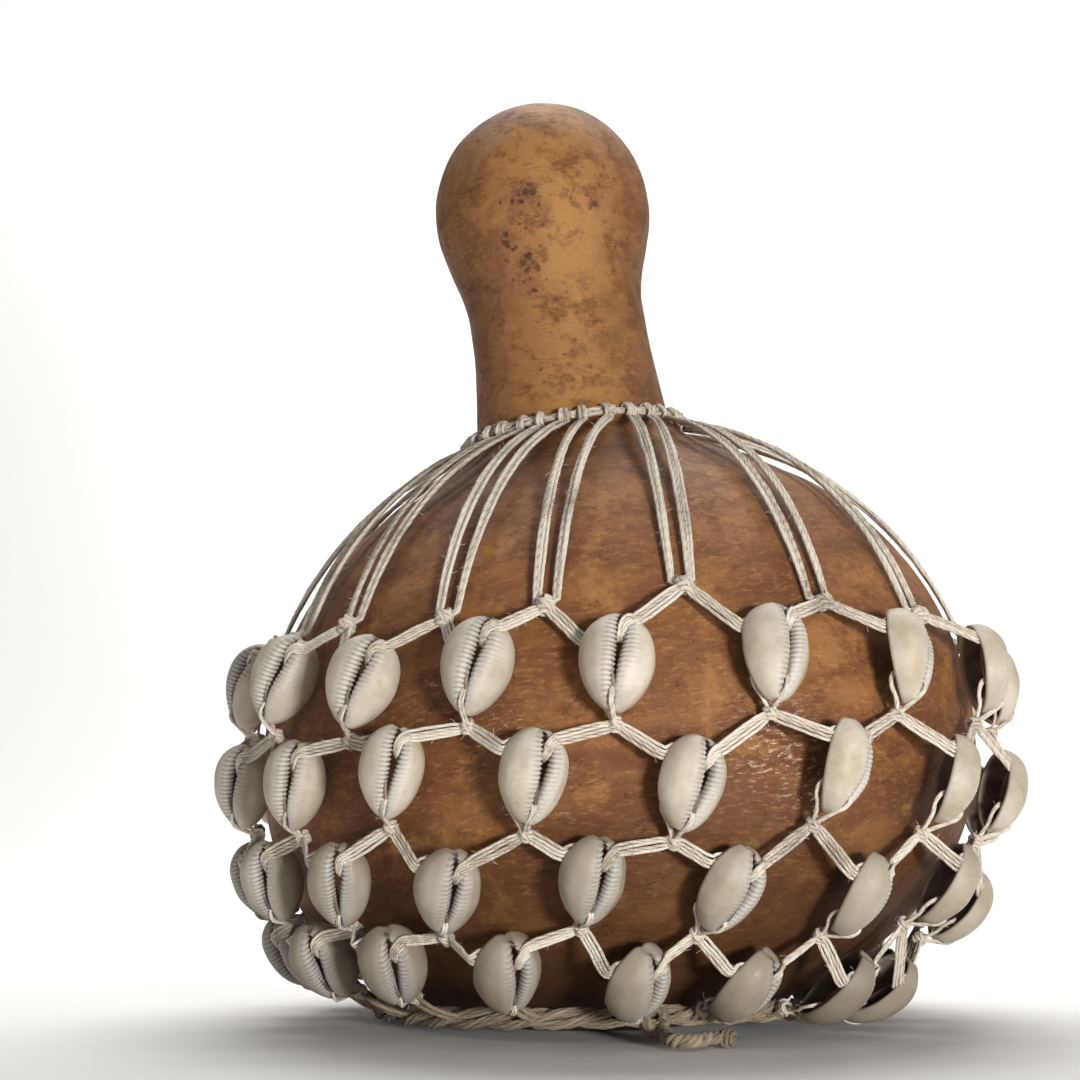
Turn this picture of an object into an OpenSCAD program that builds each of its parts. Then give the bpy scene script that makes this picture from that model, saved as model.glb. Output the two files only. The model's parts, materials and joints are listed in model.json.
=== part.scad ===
// A shekere: a dried gourd in a loose net of knotted cotton cord strung with cowrie shells.
// Lengths are millimetres. The gourd stands on its flat base at the origin, +Z is up, and it is
// seen from -Y with +X to the right. It leans, and the rows of the net hang level round it.

/* [Gourd] */
// Radius of the gourd at its widest ring
body_r = 80; // [72:1:92]
// Height of the upper half over the widest ring, as a plain ellipse
shoulder_h = 73; // [68:1:80]
// Depth of the lower half under the widest ring
bottom_h = 60.5; // [57:0.5:64]
// Depth of the flat that the gourd stands on
flat_depth = 2; // [1.5:0.1:3.2]
// Thickness of the dried rind
rind = 4; // [3.5:0.1:5.5]
// Lean of the gourd to the left, in degrees
lean = 7.5; // [4:0.5:9]
// Radius of the neck where it leaves the shoulder
root_r = 22.6; // [21.6:0.1:24]
// Height of the neck's root over the widest ring
root_h = 76.5; // [75:0.5:79]
// Radius of the neck at its waist
waist_r = 20.8; // [18:0.1:23]
// Height of the waist over the widest ring
waist_h = 104; // [98:1:110]
// Radius of the bulb at the top of the neck
bulb_r = 25.8; // [23:0.1:29]
// Height of the bulb's widest ring over the body's
bulb_h = 129.6; // [122:0.2:138]
// Height of the bulb's round cap
cap_h = 26.2; // [22:0.1:30]

/* [Net] */
// Cowries, and knots, in one row round the gourd
columns = 18; // [18:1:18]
// Gap between the cords and the rind where they come closest
cord_gap = 0.4; // [0.3:0.05:0.8]
// Travel of the whole net up the gourd when it bounces
bounce = 1.5; // [0:0.1:2]
// Radius of the collar cord round the neck
collar_cord_r = 1; // [0.8:0.05:1.3]
// Radius of one strand from the collar to the first row
strand_r = 1; // [0.8:0.05:1.2]
// Width of the flat bundle of yarn between two knots
arm_w = 3; // [2.6:0.1:3.2]
// Thickness of that bundle
arm_t = 1.5; // [1.2:0.1:1.6]
// Radius of the knots under the strands
first_knot_r = 2.2; // [1.9:0.1:2.6]
// Radius of the other knots
knot_r = 1.6; // [1.4:0.05:1.8]
// Radius of the cords from the lowest knots to the drawstring
link_r = 1.2; // [0.9:0.1:1.4]
// Radius of one ply of the drawstring
ply_r = 1.05; // [0.9:0.05:1.15]
// Radius on which the three plies of the drawstring turn
ply_turn_r = 1.3; // [1.25:0.05:1.5]
// Radius of the knot that gathers the drawstring
gather_r = 3.3; // [3:0.1:3.6]
// Radius of the cord in the bow
bow_r = 1.5; // [1.2:0.1:1.6]

/* [Cowries] */
// Length of a cowrie
shell_l = 19; // [17:0.5:20]
// Width of a cowrie
shell_w = 14; // [12:0.5:14.5]
// Height of a cowrie over its cut back
shell_h = 8.6; // [8:0.1:9.4]
// Thickness of the shell
shell_wall = 1.1; // [0.8:0.05:1.4]
// Width of the mouth between its lips
mouth_w = 2; // [1.8:0.1:2.4]
// Depth of one tooth on the lips
tooth = 0.4; // [0.2:0.05:0.6]
// Least height of a cowrie's cut back over the net's resting place
back_lift = 3.9; // [3.8:0.1:5]
// Gap between the lower edge of a rolled cowrie and the rind, less its curve
edge_gap = 0.9; // [0.7:0.1:1.5]
// Radius of the loops of yarn that hold a cowrie by its two ends
loop_cord_r = 0.5; // [0.4:0.05:0.6]

/* [Hidden] */
$fn = 64;

// Shape of the gourd
squareness = 2.2;
stand_h = bottom_h - flat_depth;
join_share = 0.723;
join_h = join_share * shoulder_h;
root_slope = -0.12;
slope_step = body_r / 2000;
overrun = body_r / 20;
reach = 4 * body_r;

// Heights of the five rows of knots over the widest ring, as shares of the body radius
row_share = [0.295, 0.035, -0.205, -0.42, -0.585];
ring_share = -0.62;
ring_tilt_share = -0.015;
// Size of the cowries in each row against the lengths above
shell_share = [1.02, 0.97, 0.96, 1.03];

// Where each strand pair hangs on the collar, in degrees round the gourd from the front
hitch_turns = [-95, -75, -55, -32, -10, 12, 37, 60, 80, 99, 117, 136, 154, 173, 191, 210, 229, 248];
// Where each knot was tied, row by row
knot_turns = [
    [-98, -78, -58, -42.5, -23, -7.5, 12.5, 33.5, 54, 77, 97, 117, 138, 159, 180, 201, 222, 242],
    [-91, -74, -57, -38.5, -19.5, 0, 20.5, 41, 62, 84, 104, 124.5, 145.5, 166.5, 187.5, 208.5, 229, 249],
    [-87, -70, -51.5, -33, -13.5, 5.5, 25, 45.5, 68, 90, 110, 130.5, 151.5, 172.5, 193.5, 215, 235, 255],
    [-83, -65, -47, -30, -9, 8, 30, 51, 74.5, 95.5, 115.5, 136.5, 158, 179, 200, 220.5, 240.5, 260],
    [-80, -62.5, -45.5, -26, -6.5, 10.5, 33, 56, 79, 100, 121, 142, 163.5, 184.5, 205.5, 225.5, 245, 263]
];
// How far each knot was tied above or below its row, in percent of the body's radius
knot_rises = [
    [0, -1.2, -2.5, -1, -1.1, 0.9, 6, 3.1, 2.4, -0.4, 1.5, -1, 0.8, 1.9, -0.8, 1.1, -1.2, 0.6],
    [0.8, -0.5, -1.2, -3.4, -1, -0.8, 2.2, 2.9, 2.5, 1.9, -0.6, 1, -1.3, 0.5, 1.4, -0.9, 0.3, -1],
    [0.5, -0.6, -1.2, 1, -0.4, -2, 2.2, 0.7, -0.6, -2.2, 0.9, -0.5, 1.3, -1.1, 0.4, 1, -0.8, 0.6],
    [-0.4, 0.6, 0, -1.1, 0.9, -0.4, -0.4, 2, -2, 0.5, -1, 0.8, 1.2, -0.6, 0.3, -1.2, 0.9, -0.3],
    [2.4, 2.2, 2, 1.2, -0.4, -0.9, -0.6, -0.7, -0.8, -0.6, -0.4, 0, 0.6, -0.4, 0.8, 1.2, 1.6, 2.2]
];
percent = 100;
// How far each cowrie is rolled to its right on its two loops, in degrees
shell_rolls = [
    [20, 24, 38, 30, 15, 0, 22, 33, 38, 30, 24, 18, 26, 30, 16, 22, 28, 20],
    [25, 42, 38, 34, 28, 15, 42, 45, 38, 32, 24, 28, 16, 22, 30, 18, 26, 22],
    [28, 42, 40, 33, 24, 25, 34, 42, 36, 26, 30, 18, 24, 28, 20, 30, 22, 26],
    [30, 42, 38, 38, 28, 24, 44, 42, 34, 28, 20, 26, 30, 18, 24, 22, 30, 26]
];
full_turn = 360;

// Collar and hitches
collar_h = 75;
collar_gap = 0.4;
hitch_gap = 0.32;
hitch_r = collar_cord_r + hitch_gap + strand_r;
hitch_low = -50;
hitch_high = 120;
// Half the angle between the two strands of a pair, on the collar and at their knot
pair_spread = 5;
pair_closing = 1;
strand_end_rise = 1.7;
// A taut strand clears the shoulder by this much, halfway down
strand_lift = 2.4;
// Cord ends stop this far short of the middle of a knot
end_gap = 0.6;
least_rise = 0.05;
ribbon_sides = 8;

// Cowrie: its axis over the cut back, and the points that its loops hang from
axis_h = shell_h - shell_w / 2;
egg_power = 2.3;
egg_root = 0.6;
egg_steps = 6;
teeth = 7;
mouth_half_l = 0.432 * shell_l;
canal_l = shell_l / 2 - mouth_half_l + mouth_w / 2;
mouth_slant = 0.1;
mouth_taper = 0.45;
canal_floor = 0.326 * shell_h;
loop_gap = 0.2;
canal_w = mouth_w + 2 * loop_gap;
loop_reach = 0.447 * shell_l;
loop_r = 2.6;
loop_h = 0.163 * shell_h;
fold_t = 0.9;
fold_x = -0.155 * shell_w;
fold_l = 0.68 * shell_l;
fold_floor = 0.12 * shell_h;
// Knots and arm ends stand off the rind where the cowries hold the net up
net_lift = 1;
// A cowrie's tips stay this far from the knot under it
tip_gap = 0.8;
// The left arm ends under the head loop and the right arm over its tip
under_end = [mouth_slant * loop_reach, loop_reach, loop_h - loop_r];
over_end = [mouth_slant * loop_reach, loop_reach + 0.6 * loop_r, loop_h + loop_r];

// Drawstring
ring_steps = 60;
ring_sides = 5;
ring_twists = 12;
plies = 3;
gather_turn = 0;
link_lead = 4;
bow_sides = 8;
bow_steps = 3;
bow_knot_r = 1.9;
bow_route = [
    [8.8, -55, 2.8], [9.1, -57.5, 2.3], [9.3, -60, 2.1], [9.7, -62.6, 2], [10.5, -64.4, 2],
    [12, -65.3, 2], [13.7, -65.1, 2], [14.9, -63.9, 2], [15.7, -62, 2], [16.8, -60.1, 2],
    [18.6, -59, 2], [20.8, -59, 2]
];

pairs = columns / 2;

function unit(v) = v / norm(v);
function flat(v) = [v[0], v[1]];

// A smooth curve between two places, each a height, a radius and a slope
function curve(p, q, z) =
    let (h = q[0] - p[0], t = (z - p[0]) / h)
    p[1] * (2 * t * t * t - 3 * t * t + 1) + p[2] * h * (t * t * t - 2 * t * t + t)
    + q[1] * (3 * t * t - 2 * t * t * t) + q[2] * h * (t * t * t - t * t);

function ellipse_r(z) = body_r * sqrt(max(0, 1 - pow(z / shoulder_h, 2)));
function bottom_r(z) = body_r * pow(max(0, 1 - pow(-z / bottom_h, squareness)), 1 / squareness);
function bulb_cap_r(z) = bulb_r * sqrt(max(0, 1 - pow((z - bulb_h) / cap_h, 2)));
join_slope = -join_h * pow(body_r / shoulder_h, 2) / ellipse_r(join_h);
join_place = [join_h, ellipse_r(join_h), join_slope];
root_place = [root_h, root_r, root_slope];
waist_place = [waist_h, waist_r, 0];
bulb_place = [bulb_h, bulb_r, 0];
collar_r = skin_r(collar_h) + collar_gap + collar_cord_r;

// Radius of the rind at a height over the widest ring
function skin_r(z) =
    z < 0 ? bottom_r(z)
    : z < join_h ? ellipse_r(z)
    : z < root_h ? curve(join_place, root_place, z)
    : z < waist_h ? curve(root_place, waist_place, z)
    : z < bulb_h ? curve(waist_place, bulb_place, z)
    : bulb_cap_r(z);

// Outward normal of the rind, as its radial and its upward share
function skin_normal(z) =
    unit([2 * slope_step, skin_r(z - slope_step) - skin_r(z + slope_step)]);

// The net hangs off the lower half by what it needs to bounce
function hang(z) = cord_gap + bounce * max(0, -skin_normal(z)[1]);

// A point over the rind, at an angle round the gourd and a height over its widest ring
function over_skin(turn, z, lift) =
    let (n = skin_normal(z), r = skin_r(z) + lift * n[0])
    [r * sin(turn), -r * cos(turn), z + lift * n[1]];
function outward(turn, z) =
    let (n = skin_normal(z))
    [n[0] * sin(turn), -n[0] * cos(turn), n[1]];

// Height on the leaning gourd of a row that hangs level
function level(share, turn) =
    let (h = share * body_r)
    h / cos(lean) - skin_r(h) * tan(lean) * sin(turn);

function wrapped(list, i) = list[i % columns] + (i >= columns ? full_turn : 0);
function knot_turn(row, i) = wrapped(knot_turns[row], i);
function knot_z(row, i) =
    level(row_share[row], knot_turn(row, i)) + knot_rises[row][i % columns] / percent * body_r;
function knot_size(row) = row == 0 ? first_knot_r : knot_r;
// A rolled cowrie hangs higher, so that its lower edge clears the rind
function lift_of(row, i) =
    max(back_lift, edge_gap + shell_share[row] * shell_w / 2 * sin(shell_rolls[row][i % columns]));
function knot_lift(row, i) =
    row == 0 ? first_knot_r : net_lift + knot_r + (lift_of(row - 1, i) - back_lift) / 2;
function knot_place(row, i) =
    let (z = knot_z(row, i))
    over_skin(knot_turn(row, i), z, hang(z) + knot_lift(row, i));

// A cowrie hangs between where two arms meet and a knot of the next row. Its frame is its middle, X, Y and Z:
// X across, Y up its length and Z out of its face.
function cowrie_frame(row, i) =
    let (
        foot_turn = knot_turns[row + 1][i],
        foot_z = knot_z(row + 1, i),
        span = shell_share[row] * shell_l + 2 * tip_gap,
        head_turn = (knot_turn(row, i) + knot_turn(row, i + 1)) / 2,
        head_z = foot_z + span * skin_normal(foot_z + span / 2 * skin_normal(foot_z)[0])[0],
        foot = over_skin(foot_turn, foot_z, hang(foot_z)),
        head = over_skin(head_turn, head_z, hang(head_z)),
        y = unit(head - foot),
        n = outward((head_turn + foot_turn) / 2, (head_z + foot_z) / 2),
        out = unit(n - (n * y) * y),
        roll = shell_rolls[row][i],
        z = cos(roll) * out + sin(roll) * cross(y, out)
    )
    [(head + foot) / 2 + lift_of(row, i) * out, cross(y, z), y, z];
function on_cowrie(row, i, p) =
    let (f = cowrie_frame(row, i))
    f[0] + shell_share[row] * (p[0] * f[1] + p[1] * f[2] + p[2] * f[3]);

// Where a point lies round the gourd, and how high it is over the rind
function turn_of(p) = atan2(p[0], -p[1]);
function height_of(p) = (norm(flat(p)) - skin_r(p[2])) * skin_normal(p[2])[0];
function middle(a, b) =
    let (c = (a + b) / 2)
    over_skin(turn_of(c), c[2], (height_of(a) + height_of(b)) / 2);

// Cord from a to b, bent away from the gourd so that it passes at the height of m.
// Its child is its section, with X away from the gourd.
module cord(a, m, b, out) {
    u = unit(b - a);
    w = unit(out - (out * u) * u);
    v = cross(w, u);
    c = (a + b) / 2;
    half = norm(b - a) / 2;
    rise = min(half / 2, max(least_rise, (m - c) * w));
    bend = (half * half + rise * rise) / (2 * rise);
    sweep = 2 * atan(rise / half);
    multmatrix([
        [w[0], u[0], v[0], c[0]],
        [w[1], u[1], v[1], c[1]],
        [w[2], u[2], v[2], c[2]]
    ])
        translate([rise - bend, 0, 0])
            rotate([0, 0, -sweep])
                rotate_extrude(angle = 2 * sweep)
                    translate([bend, 0])
                        children();
}

module ribbon_section() {
    points = [for (k = [0:ribbon_sides - 1])
        [arm_t / 2 * cos(k * full_turn / ribbon_sides), arm_w / 2 * sin(k * full_turn / ribbon_sides)]];
    polygon(points);
}

// Tube along a closed or open route. Each ring stands square to the route.
function side_axis(dir) = unit(cross(dir, abs(dir[2]) > 0.9 ? [1, 0, 0] : [0, 0, 1]));
function ring_points(p, dir, r, sides) =
    let (e = side_axis(dir), f = cross(dir, e))
    [for (k = [0:sides - 1]) p + r * (cos(k * full_turn / sides) * e + sin(k * full_turn / sides) * f)];
module tube(route, r, sides, closed) {
    n = len(route);
    last = closed ? n - 1 : n - 2;
    points = [
        for (i = [0:n - 1])
            let (
                before = route[closed ? (i + n - 1) % n : max(0, i - 1)],
                after = route[closed ? (i + 1) % n : min(n - 1, i + 1)]
            )
            each ring_points(route[i], unit(after - before), r, sides)
    ];
    walls = [
        for (i = [0:last])
            for (k = [0:sides - 1])
                let (
                    a = i * sides + k,
                    b = i * sides + (k + 1) % sides,
                    c = ((i + 1) % n) * sides + (k + 1) % sides,
                    d = ((i + 1) % n) * sides + k
                )
                each [[a, c, b], [a, d, c]]
    ];
    caps = closed ? [] : [
        [for (k = [0:sides - 1]) k],
        [for (k = [sides - 1:-1:0]) (n - 1) * sides + k]
    ];
    polyhedron(points, concat(walls, caps));
}

// A smooth route through points chosen by hand
function blend(p, q, r, s, t) =
    0.5 * (2 * q + (r - p) * t + (2 * p - 5 * q + 4 * r - s) * t * t + (3 * q - p - 3 * r + s) * t * t * t);
function smooth(route, steps) =
    let (n = len(route))
    [
        for (i = [0:n - 2])
            for (k = [0:steps - 1])
                blend(route[max(0, i - 1)], route[i], route[i + 1], route[min(n - 1, i + 2)], k / steps),
        route[n - 1]
    ];

// Stands the leaning gourd, and the net on it, on the ground
module standing() {
    translate([0, 0, stand_h])
        rotate([0, -lean, 0])
            children();
}
function stand(p) =
    [p[0] * cos(lean) - p[2] * sin(lean), p[1], p[0] * sin(lean) + p[2] * cos(lean) + stand_h];

// Gourd
lower_steps = 18;
upper_steps = 12;
root_steps = 8;
waist_steps = 7;
neck_steps = 8;
cap_steps = 12;
quarter_turn = full_turn / 4;
function heights(low, high, steps) = [for (k = [0:steps - 1]) low + (high - low) * k / steps];
function lower_point(a) =
    [body_r * pow(sin(a), 2 / squareness), -bottom_h * pow(cos(a), 2 / squareness)];
outline = [
    for (k = [0:lower_steps - 1]) lower_point(quarter_turn * k / lower_steps),
    for (k = [0:upper_steps - 1])
        let (z = join_h * k / upper_steps)
        [ellipse_r(z), z],
    for (z = concat(
        heights(join_h, root_h, root_steps),
        heights(root_h, waist_h, waist_steps),
        heights(waist_h, bulb_h, neck_steps)
    ))
        [skin_r(z), z],
    for (k = [0:cap_steps])
        let (a = quarter_turn * k / cap_steps)
        [bulb_r * cos(a), bulb_h + cap_h * sin(a)]
];
function inward(list, i) =
    let (
        n = len(list),
        d = list[min(n - 1, i + 1)] - list[max(0, i - 1)],
        u = unit(d)
    )
    i == 0 ? [0, list[0][1] + rind]
    : i == n - 1 ? [0, list[i][1] - rind]
    : list[i] + rind * [-u[1], u[0]];

module gourd() {
    color("#b07a3e")
        difference() {
            standing()
                rotate_extrude()
                    polygon(outline);
            standing()
                rotate_extrude()
                    polygon([for (i = [0:len(outline) - 1]) inward(outline, i)]);
            translate([-reach, -reach, -reach])
                cube([2 * reach, 2 * reach, reach]);
        }
}

// Ring of cord round the root of the neck
module collar() {
    color("#ddd2bf")
        standing()
            translate([0, 0, collar_h])
                rotate_extrude()
                    translate([collar_r, 0])
                        circle(r = collar_cord_r);
}

function hitch_turn(i, side) = hitch_turns[i] + side * pair_spread;
function strand_top(i, side) =
    let (
        t = hitch_turn(i, side),
        r = collar_r + hitch_r * cos(hitch_low)
    )
    [r * sin(t), -r * cos(t), collar_h + hitch_r * sin(hitch_low)];
function strand_end(i, side) =
    let (z = knot_z(0, i) + strand_end_rise)
    over_skin(knot_turns[0][i] + side * pair_closing, z, hang(z) + strand_r);
// Each strand hooks over the collar
module hitches() {
    color("#e6dccb")
        standing()
            for (i = [0:columns - 1])
                for (side = [-1, 1])
                    rotate([0, 0, hitch_turn(i, side) - 90])
                        translate([collar_r, 0, collar_h])
                            rotate([90, 0, 0])
                                rotate([0, 0, hitch_low])
                                    rotate_extrude(angle = hitch_high - hitch_low)
                                        translate([hitch_r, 0])
                                            circle(r = strand_r);
}

// The strands lie straight over the shoulder, seen from above
module strands() {
    color("#e6dccb")
        standing()
            for (i = [0:columns - 1])
                for (side = [-1, 1]) {
                    p = (flat(strand_top(i, side)) + flat(strand_end(i, side))) / 2;
                    turn = atan2(p[0], -p[1]);
                    z = shoulder_h * sqrt(1 - pow(norm(p) / body_r, 2));
                    m = over_skin(turn, z, strand_lift + strand_r);
                    cord(strand_top(i, side), m, strand_end(i, side), outward(turn, z))
                        circle(r = strand_r);
                }
}

module knots(row) {
    color("#e0d5c2")
        standing()
            for (i = [0:columns - 1])
                translate(knot_place(row, i))
                    sphere(r = knot_size(row));
}

// One flat bundle of yarn, from a knot to the head of a cowrie
module arm(knot, head) {
    a = knot + end_gap * unit(head - knot);
    c = (a + head) / 2;
    cord(a, middle(a, head), head, outward(turn_of(c), c[2]))
        ribbon_section();
}

// The left bundle goes behind its cowrie and the right one over it
module arms(row) {
    color("#e6dccb")
        standing()
            for (i = [0:columns - 1]) {
                arm(knot_place(row, i), on_cowrie(row, i, under_end));
                arm(knot_place(row, i + 1), on_cowrie(row, i, over_end));
            }
}

module at_cowrie(row, i) {
    f = cowrie_frame(row, i);
    multmatrix([
        [f[1][0], f[2][0], f[3][0], f[0][0]],
        [f[1][1], f[2][1], f[3][1], f[0][1]],
        [f[1][2], f[2][2], f[3][2], f[0][2]]
    ])
        scale(shell_share[row])
            children();
}

// Egg turned about the length of a cowrie, less a wall where it is the hollow
module egg(wall) {
    half_l = shell_l / 2 - wall;
    half_w = shell_w / 2 - wall;
    side = [
        for (k = [-egg_steps + 1:egg_steps - 1])
            let (s = sin(quarter_turn * k / egg_steps))
            [half_w * pow(1 - pow(abs(s), egg_power), egg_root), half_l * s]
    ];
    translate([0, 0, axis_h])
        rotate([-90, 0, 0])
            rotate_extrude()
                polygon(concat([[0, -half_l]], side, [[0, half_l]]));
}

// Outline of the mouth, with teeth on both lips
module mouth() {
    function half(y) = mouth_w / 2 * (1 - mouth_taper * pow(1 - abs(y) / mouth_half_l, 1));
    function lip(y, side, k) = mouth_slant * y + side * (half(y) - (k % 2) * tooth / 2);
    steps = 2 * teeth;
    right = [
        for (k = [0:steps])
            let (y = mouth_half_l * (2 * k / steps - 1))
            [lip(y, 1, k), y]
    ];
    left = [
        for (k = [steps:-1:0])
            let (y = mouth_half_l * (2 * k / steps - 1))
            [lip(y, -1, k), y]
    ];
    polygon(concat(right, left));
}

module cowrie() {
    difference() {
        egg(0);
        difference() {
            egg(shell_wall);
            translate([fold_x - fold_t, -fold_l / 2, fold_floor])
                cube([fold_t, fold_l, shell_h]);
        }
        translate([-shell_w, -shell_l, -2 * shell_w])
            cube([2 * shell_w, 2 * shell_l, 2 * shell_w]);
        translate([0, 0, axis_h])
            linear_extrude(height = shell_h)
                mouth();
        for (side = [-1, 1])
            translate([side * mouth_slant * loop_reach - canal_w / 2, side * shell_l / 2 - canal_l, canal_floor])
                cube([canal_w, 2 * canal_l, shell_h]);
    }
}

// Two neighbours of one row
module cowries(row, pair) {
    color("#efe8da")
        standing()
            for (i = [2 * pair, 2 * pair + 1])
                at_cowrie(row, i)
                    cowrie();
}

// A loop of yarn through each end of a cowrie
module lashings(row) {
    color("#e6dccb")
        standing()
            for (i = [0:columns - 1])
                at_cowrie(row, i)
                    for (side = [-1, 1])
                        translate([side * mouth_slant * loop_reach, side * loop_reach, loop_h])
                            rotate([0, 90, 0])
                                rotate_extrude()
                                    translate([loop_r, 0])
                                        circle(r = loop_cord_r);
}

function ring_z(turn) = level(ring_share - ring_tilt_share * sin(turn), turn);
function ring_centre(turn) =
    let (z = ring_z(turn))
    over_skin(turn, z, hang(z) + ply_turn_r + ply_r);

// Cords from the lowest knots to the drawstring, drawn a little towards the gather
module foot_links() {
    color("#cfc3ae")
        standing()
            for (i = [0:columns - 1]) {
                turn = knot_turns[len(row_share) - 1][i];
                near = turn > full_turn / 2 ? turn - full_turn : turn;
                a = knot_place(len(row_share) - 1, i);
                b = ring_centre(turn - link_lead * sin(near));
                c = (a + b) / 2;
                cord(a, middle(a, b), b, outward(turn_of(c), c[2]))
                    circle(r = link_r);
            }
}

// Three plies laid together round the lower gourd
module drawstring() {
    color("#b9ab95")
        for (p = [0:plies - 1]) {
            route = [
                for (k = [0:ring_steps - 1])
                    let (
                        turn = full_turn * k / ring_steps,
                        out = outward(turn, ring_z(turn)),
                        ahead = unit(ring_centre(turn + 1) - ring_centre(turn - 1)),
                        across = cross(out, ahead),
                        lay = full_turn * (ring_twists * k / ring_steps + p / plies)
                    )
                    stand(ring_centre(turn) + ply_turn_r * (cos(lay) * out + sin(lay) * across))
            ];
            tube(route, ply_r, ring_sides, true);
        }
}

function gather_place() =
    let (z = ring_z(gather_turn))
    over_skin(gather_turn, z, hang(z) + gather_r);
module gather_knot() {
    color("#a99a84")
        standing()
            translate(gather_place())
                sphere(r = gather_r);
}

// The ends of the drawstring, folded to a small bow that lies in front of the gather
module bow() {
    color("#a99a84")
        union() {
            tube(smooth(bow_route, bow_steps), bow_r, bow_sides, false);
            translate(bow_route[len(bow_route) - 1])
                sphere(r = bow_knot_r);
        }
}

gourd();
collar();
hitches();
strands();
for (row = [0:4])
    knots(row);
for (row = [0:3]) {
    arms(row);
    lashings(row);
    for (pair = [0:pairs - 1])
        cowries(row, pair);
}
foot_links();
drawstring();
gather_knot();
bow();
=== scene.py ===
# A shekere: a dried gourd in a knotted cotton net that carries four rows of cowrie shells.
# Lengths are millimetres in the gourd's own frame, as in the part's source, until standing() makes them metres.
import json
from functools import partial
from math import atan, atan2, cos, degrees, hypot, pi, radians, sin, sqrt, tan

import bmesh
import bpy
import numpy as np
from mathutils import Matrix, Vector

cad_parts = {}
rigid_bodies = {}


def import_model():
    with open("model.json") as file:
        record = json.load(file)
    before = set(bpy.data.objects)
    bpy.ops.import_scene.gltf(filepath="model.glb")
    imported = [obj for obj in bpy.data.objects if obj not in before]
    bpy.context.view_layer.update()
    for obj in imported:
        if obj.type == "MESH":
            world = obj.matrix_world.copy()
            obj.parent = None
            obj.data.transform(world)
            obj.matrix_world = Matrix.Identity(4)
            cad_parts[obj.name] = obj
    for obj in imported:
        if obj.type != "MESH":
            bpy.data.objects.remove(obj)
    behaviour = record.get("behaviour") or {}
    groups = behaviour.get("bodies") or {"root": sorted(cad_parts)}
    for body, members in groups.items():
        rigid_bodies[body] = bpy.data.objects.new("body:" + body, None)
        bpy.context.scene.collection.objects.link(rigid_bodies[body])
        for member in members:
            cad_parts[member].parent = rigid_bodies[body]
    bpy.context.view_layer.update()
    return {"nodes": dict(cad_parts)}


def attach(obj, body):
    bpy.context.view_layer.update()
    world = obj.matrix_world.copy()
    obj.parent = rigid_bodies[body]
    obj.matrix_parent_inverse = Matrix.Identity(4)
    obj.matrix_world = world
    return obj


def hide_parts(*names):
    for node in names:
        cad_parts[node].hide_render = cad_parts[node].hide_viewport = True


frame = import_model()
print("frame loaded:", len(frame["nodes"]), "nodes")

metre = 1000  # millimetres


# sRGB hex to a linear colour
def linear(hexColour):
    parts = [int(hexColour[k:k + 2], 16) / 255 for k in (1, 3, 5)]
    return [c / 12.92 if c <= 0.04045 else ((c + 0.055) / 1.055) ** 2.4 for c in parts] + [1]


# One node with its settings and its inputs, by name or in order: constants, sockets, or nodes, which stand for
# their first live output
def addNode(tree, kind, inputs=(), **settings):
    node = tree.nodes.new(kind)
    for name, value in settings.items():
        setattr(node, name, value)
    for key, value in (inputs.items() if isinstance(inputs, dict) else enumerate(inputs)):
        socket = node.inputs[key]
        if isinstance(value, bpy.types.Node):
            value = next(socket for socket in value.outputs if socket.enabled)
        if isinstance(value, bpy.types.NodeSocket):
            tree.links.new(value, socket)
        else:
            socket.default_value = value
    return node


def newObject(name, data):
    thing = bpy.data.objects.new(name, data)
    bpy.context.scene.collection.objects.link(thing)
    return thing


# Camera at the photo's place: a little below the widest ring, tipped up
camera = {"distance": 0.44, "below": 2.43, "pan": -2.30, "tilt": 8.87, "lens": 63.87, "sensor": 36, "height": 0.0585}


def makeCamera():
    eye = newObject("photoCamera", bpy.data.cameras.new("photoCamera"))
    eye.data.lens, eye.data.sensor_width = camera["lens"], camera["sensor"]
    eye.data.clip_start = 0.01
    below, pan, tilt = (radians(camera[k]) for k in ("below", "pan", "tilt"))
    eye.location = (0, -camera["distance"] * cos(below), camera["height"] - camera["distance"] * sin(below))
    look = Vector((sin(pan) * cos(tilt), cos(pan) * cos(tilt), sin(tilt)))
    eye.rotation_euler = look.to_track_quat("-Z", "Y").to_euler()
    bpy.context.scene.camera = eye


makeCamera()

# The gourd's profile, with the same values and names as in the part's source
gourd = {
    "bodyR": 80, "shoulderH": 73, "bottomH": 60.5, "squareness": 2.2, "standH": 58.5, "lean": 7.5,
    "joinShare": 0.723, "rootR": 22.6, "rootH": 76.5, "rootSlope": -0.12, "waistR": 20.8, "waistH": 104,
    "bulbR": 25.8, "bulbH": 129.6, "capH": 26.2,
}
joinH = gourd["joinShare"] * gourd["shoulderH"]
joinR = gourd["bodyR"] * sqrt(1 - (joinH / gourd["shoulderH"]) ** 2)
joinSlope = -joinH * (gourd["bodyR"] / gourd["shoulderH"]) ** 2 / joinR
outline = [(joinH, joinR, joinSlope), (gourd["rootH"], gourd["rootR"], gourd["rootSlope"]),
           (gourd["waistH"], gourd["waistR"], 0), (gourd["bulbH"], gourd["bulbR"], 0)]
leanTurn = Matrix.Rotation(-radians(gourd["lean"]), 3, "Y")


# Smooth radius between two places of the outline, each with its height, radius and slope
def curveBetween(p, q, z):
    h = q[0] - p[0]
    t = (z - p[0]) / h
    return (p[1] * (2 * t ** 3 - 3 * t * t + 1) + p[2] * h * (t ** 3 - 2 * t * t + t)
            + q[1] * (3 * t * t - 2 * t ** 3) + q[2] * h * (t ** 3 - t * t))


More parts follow.
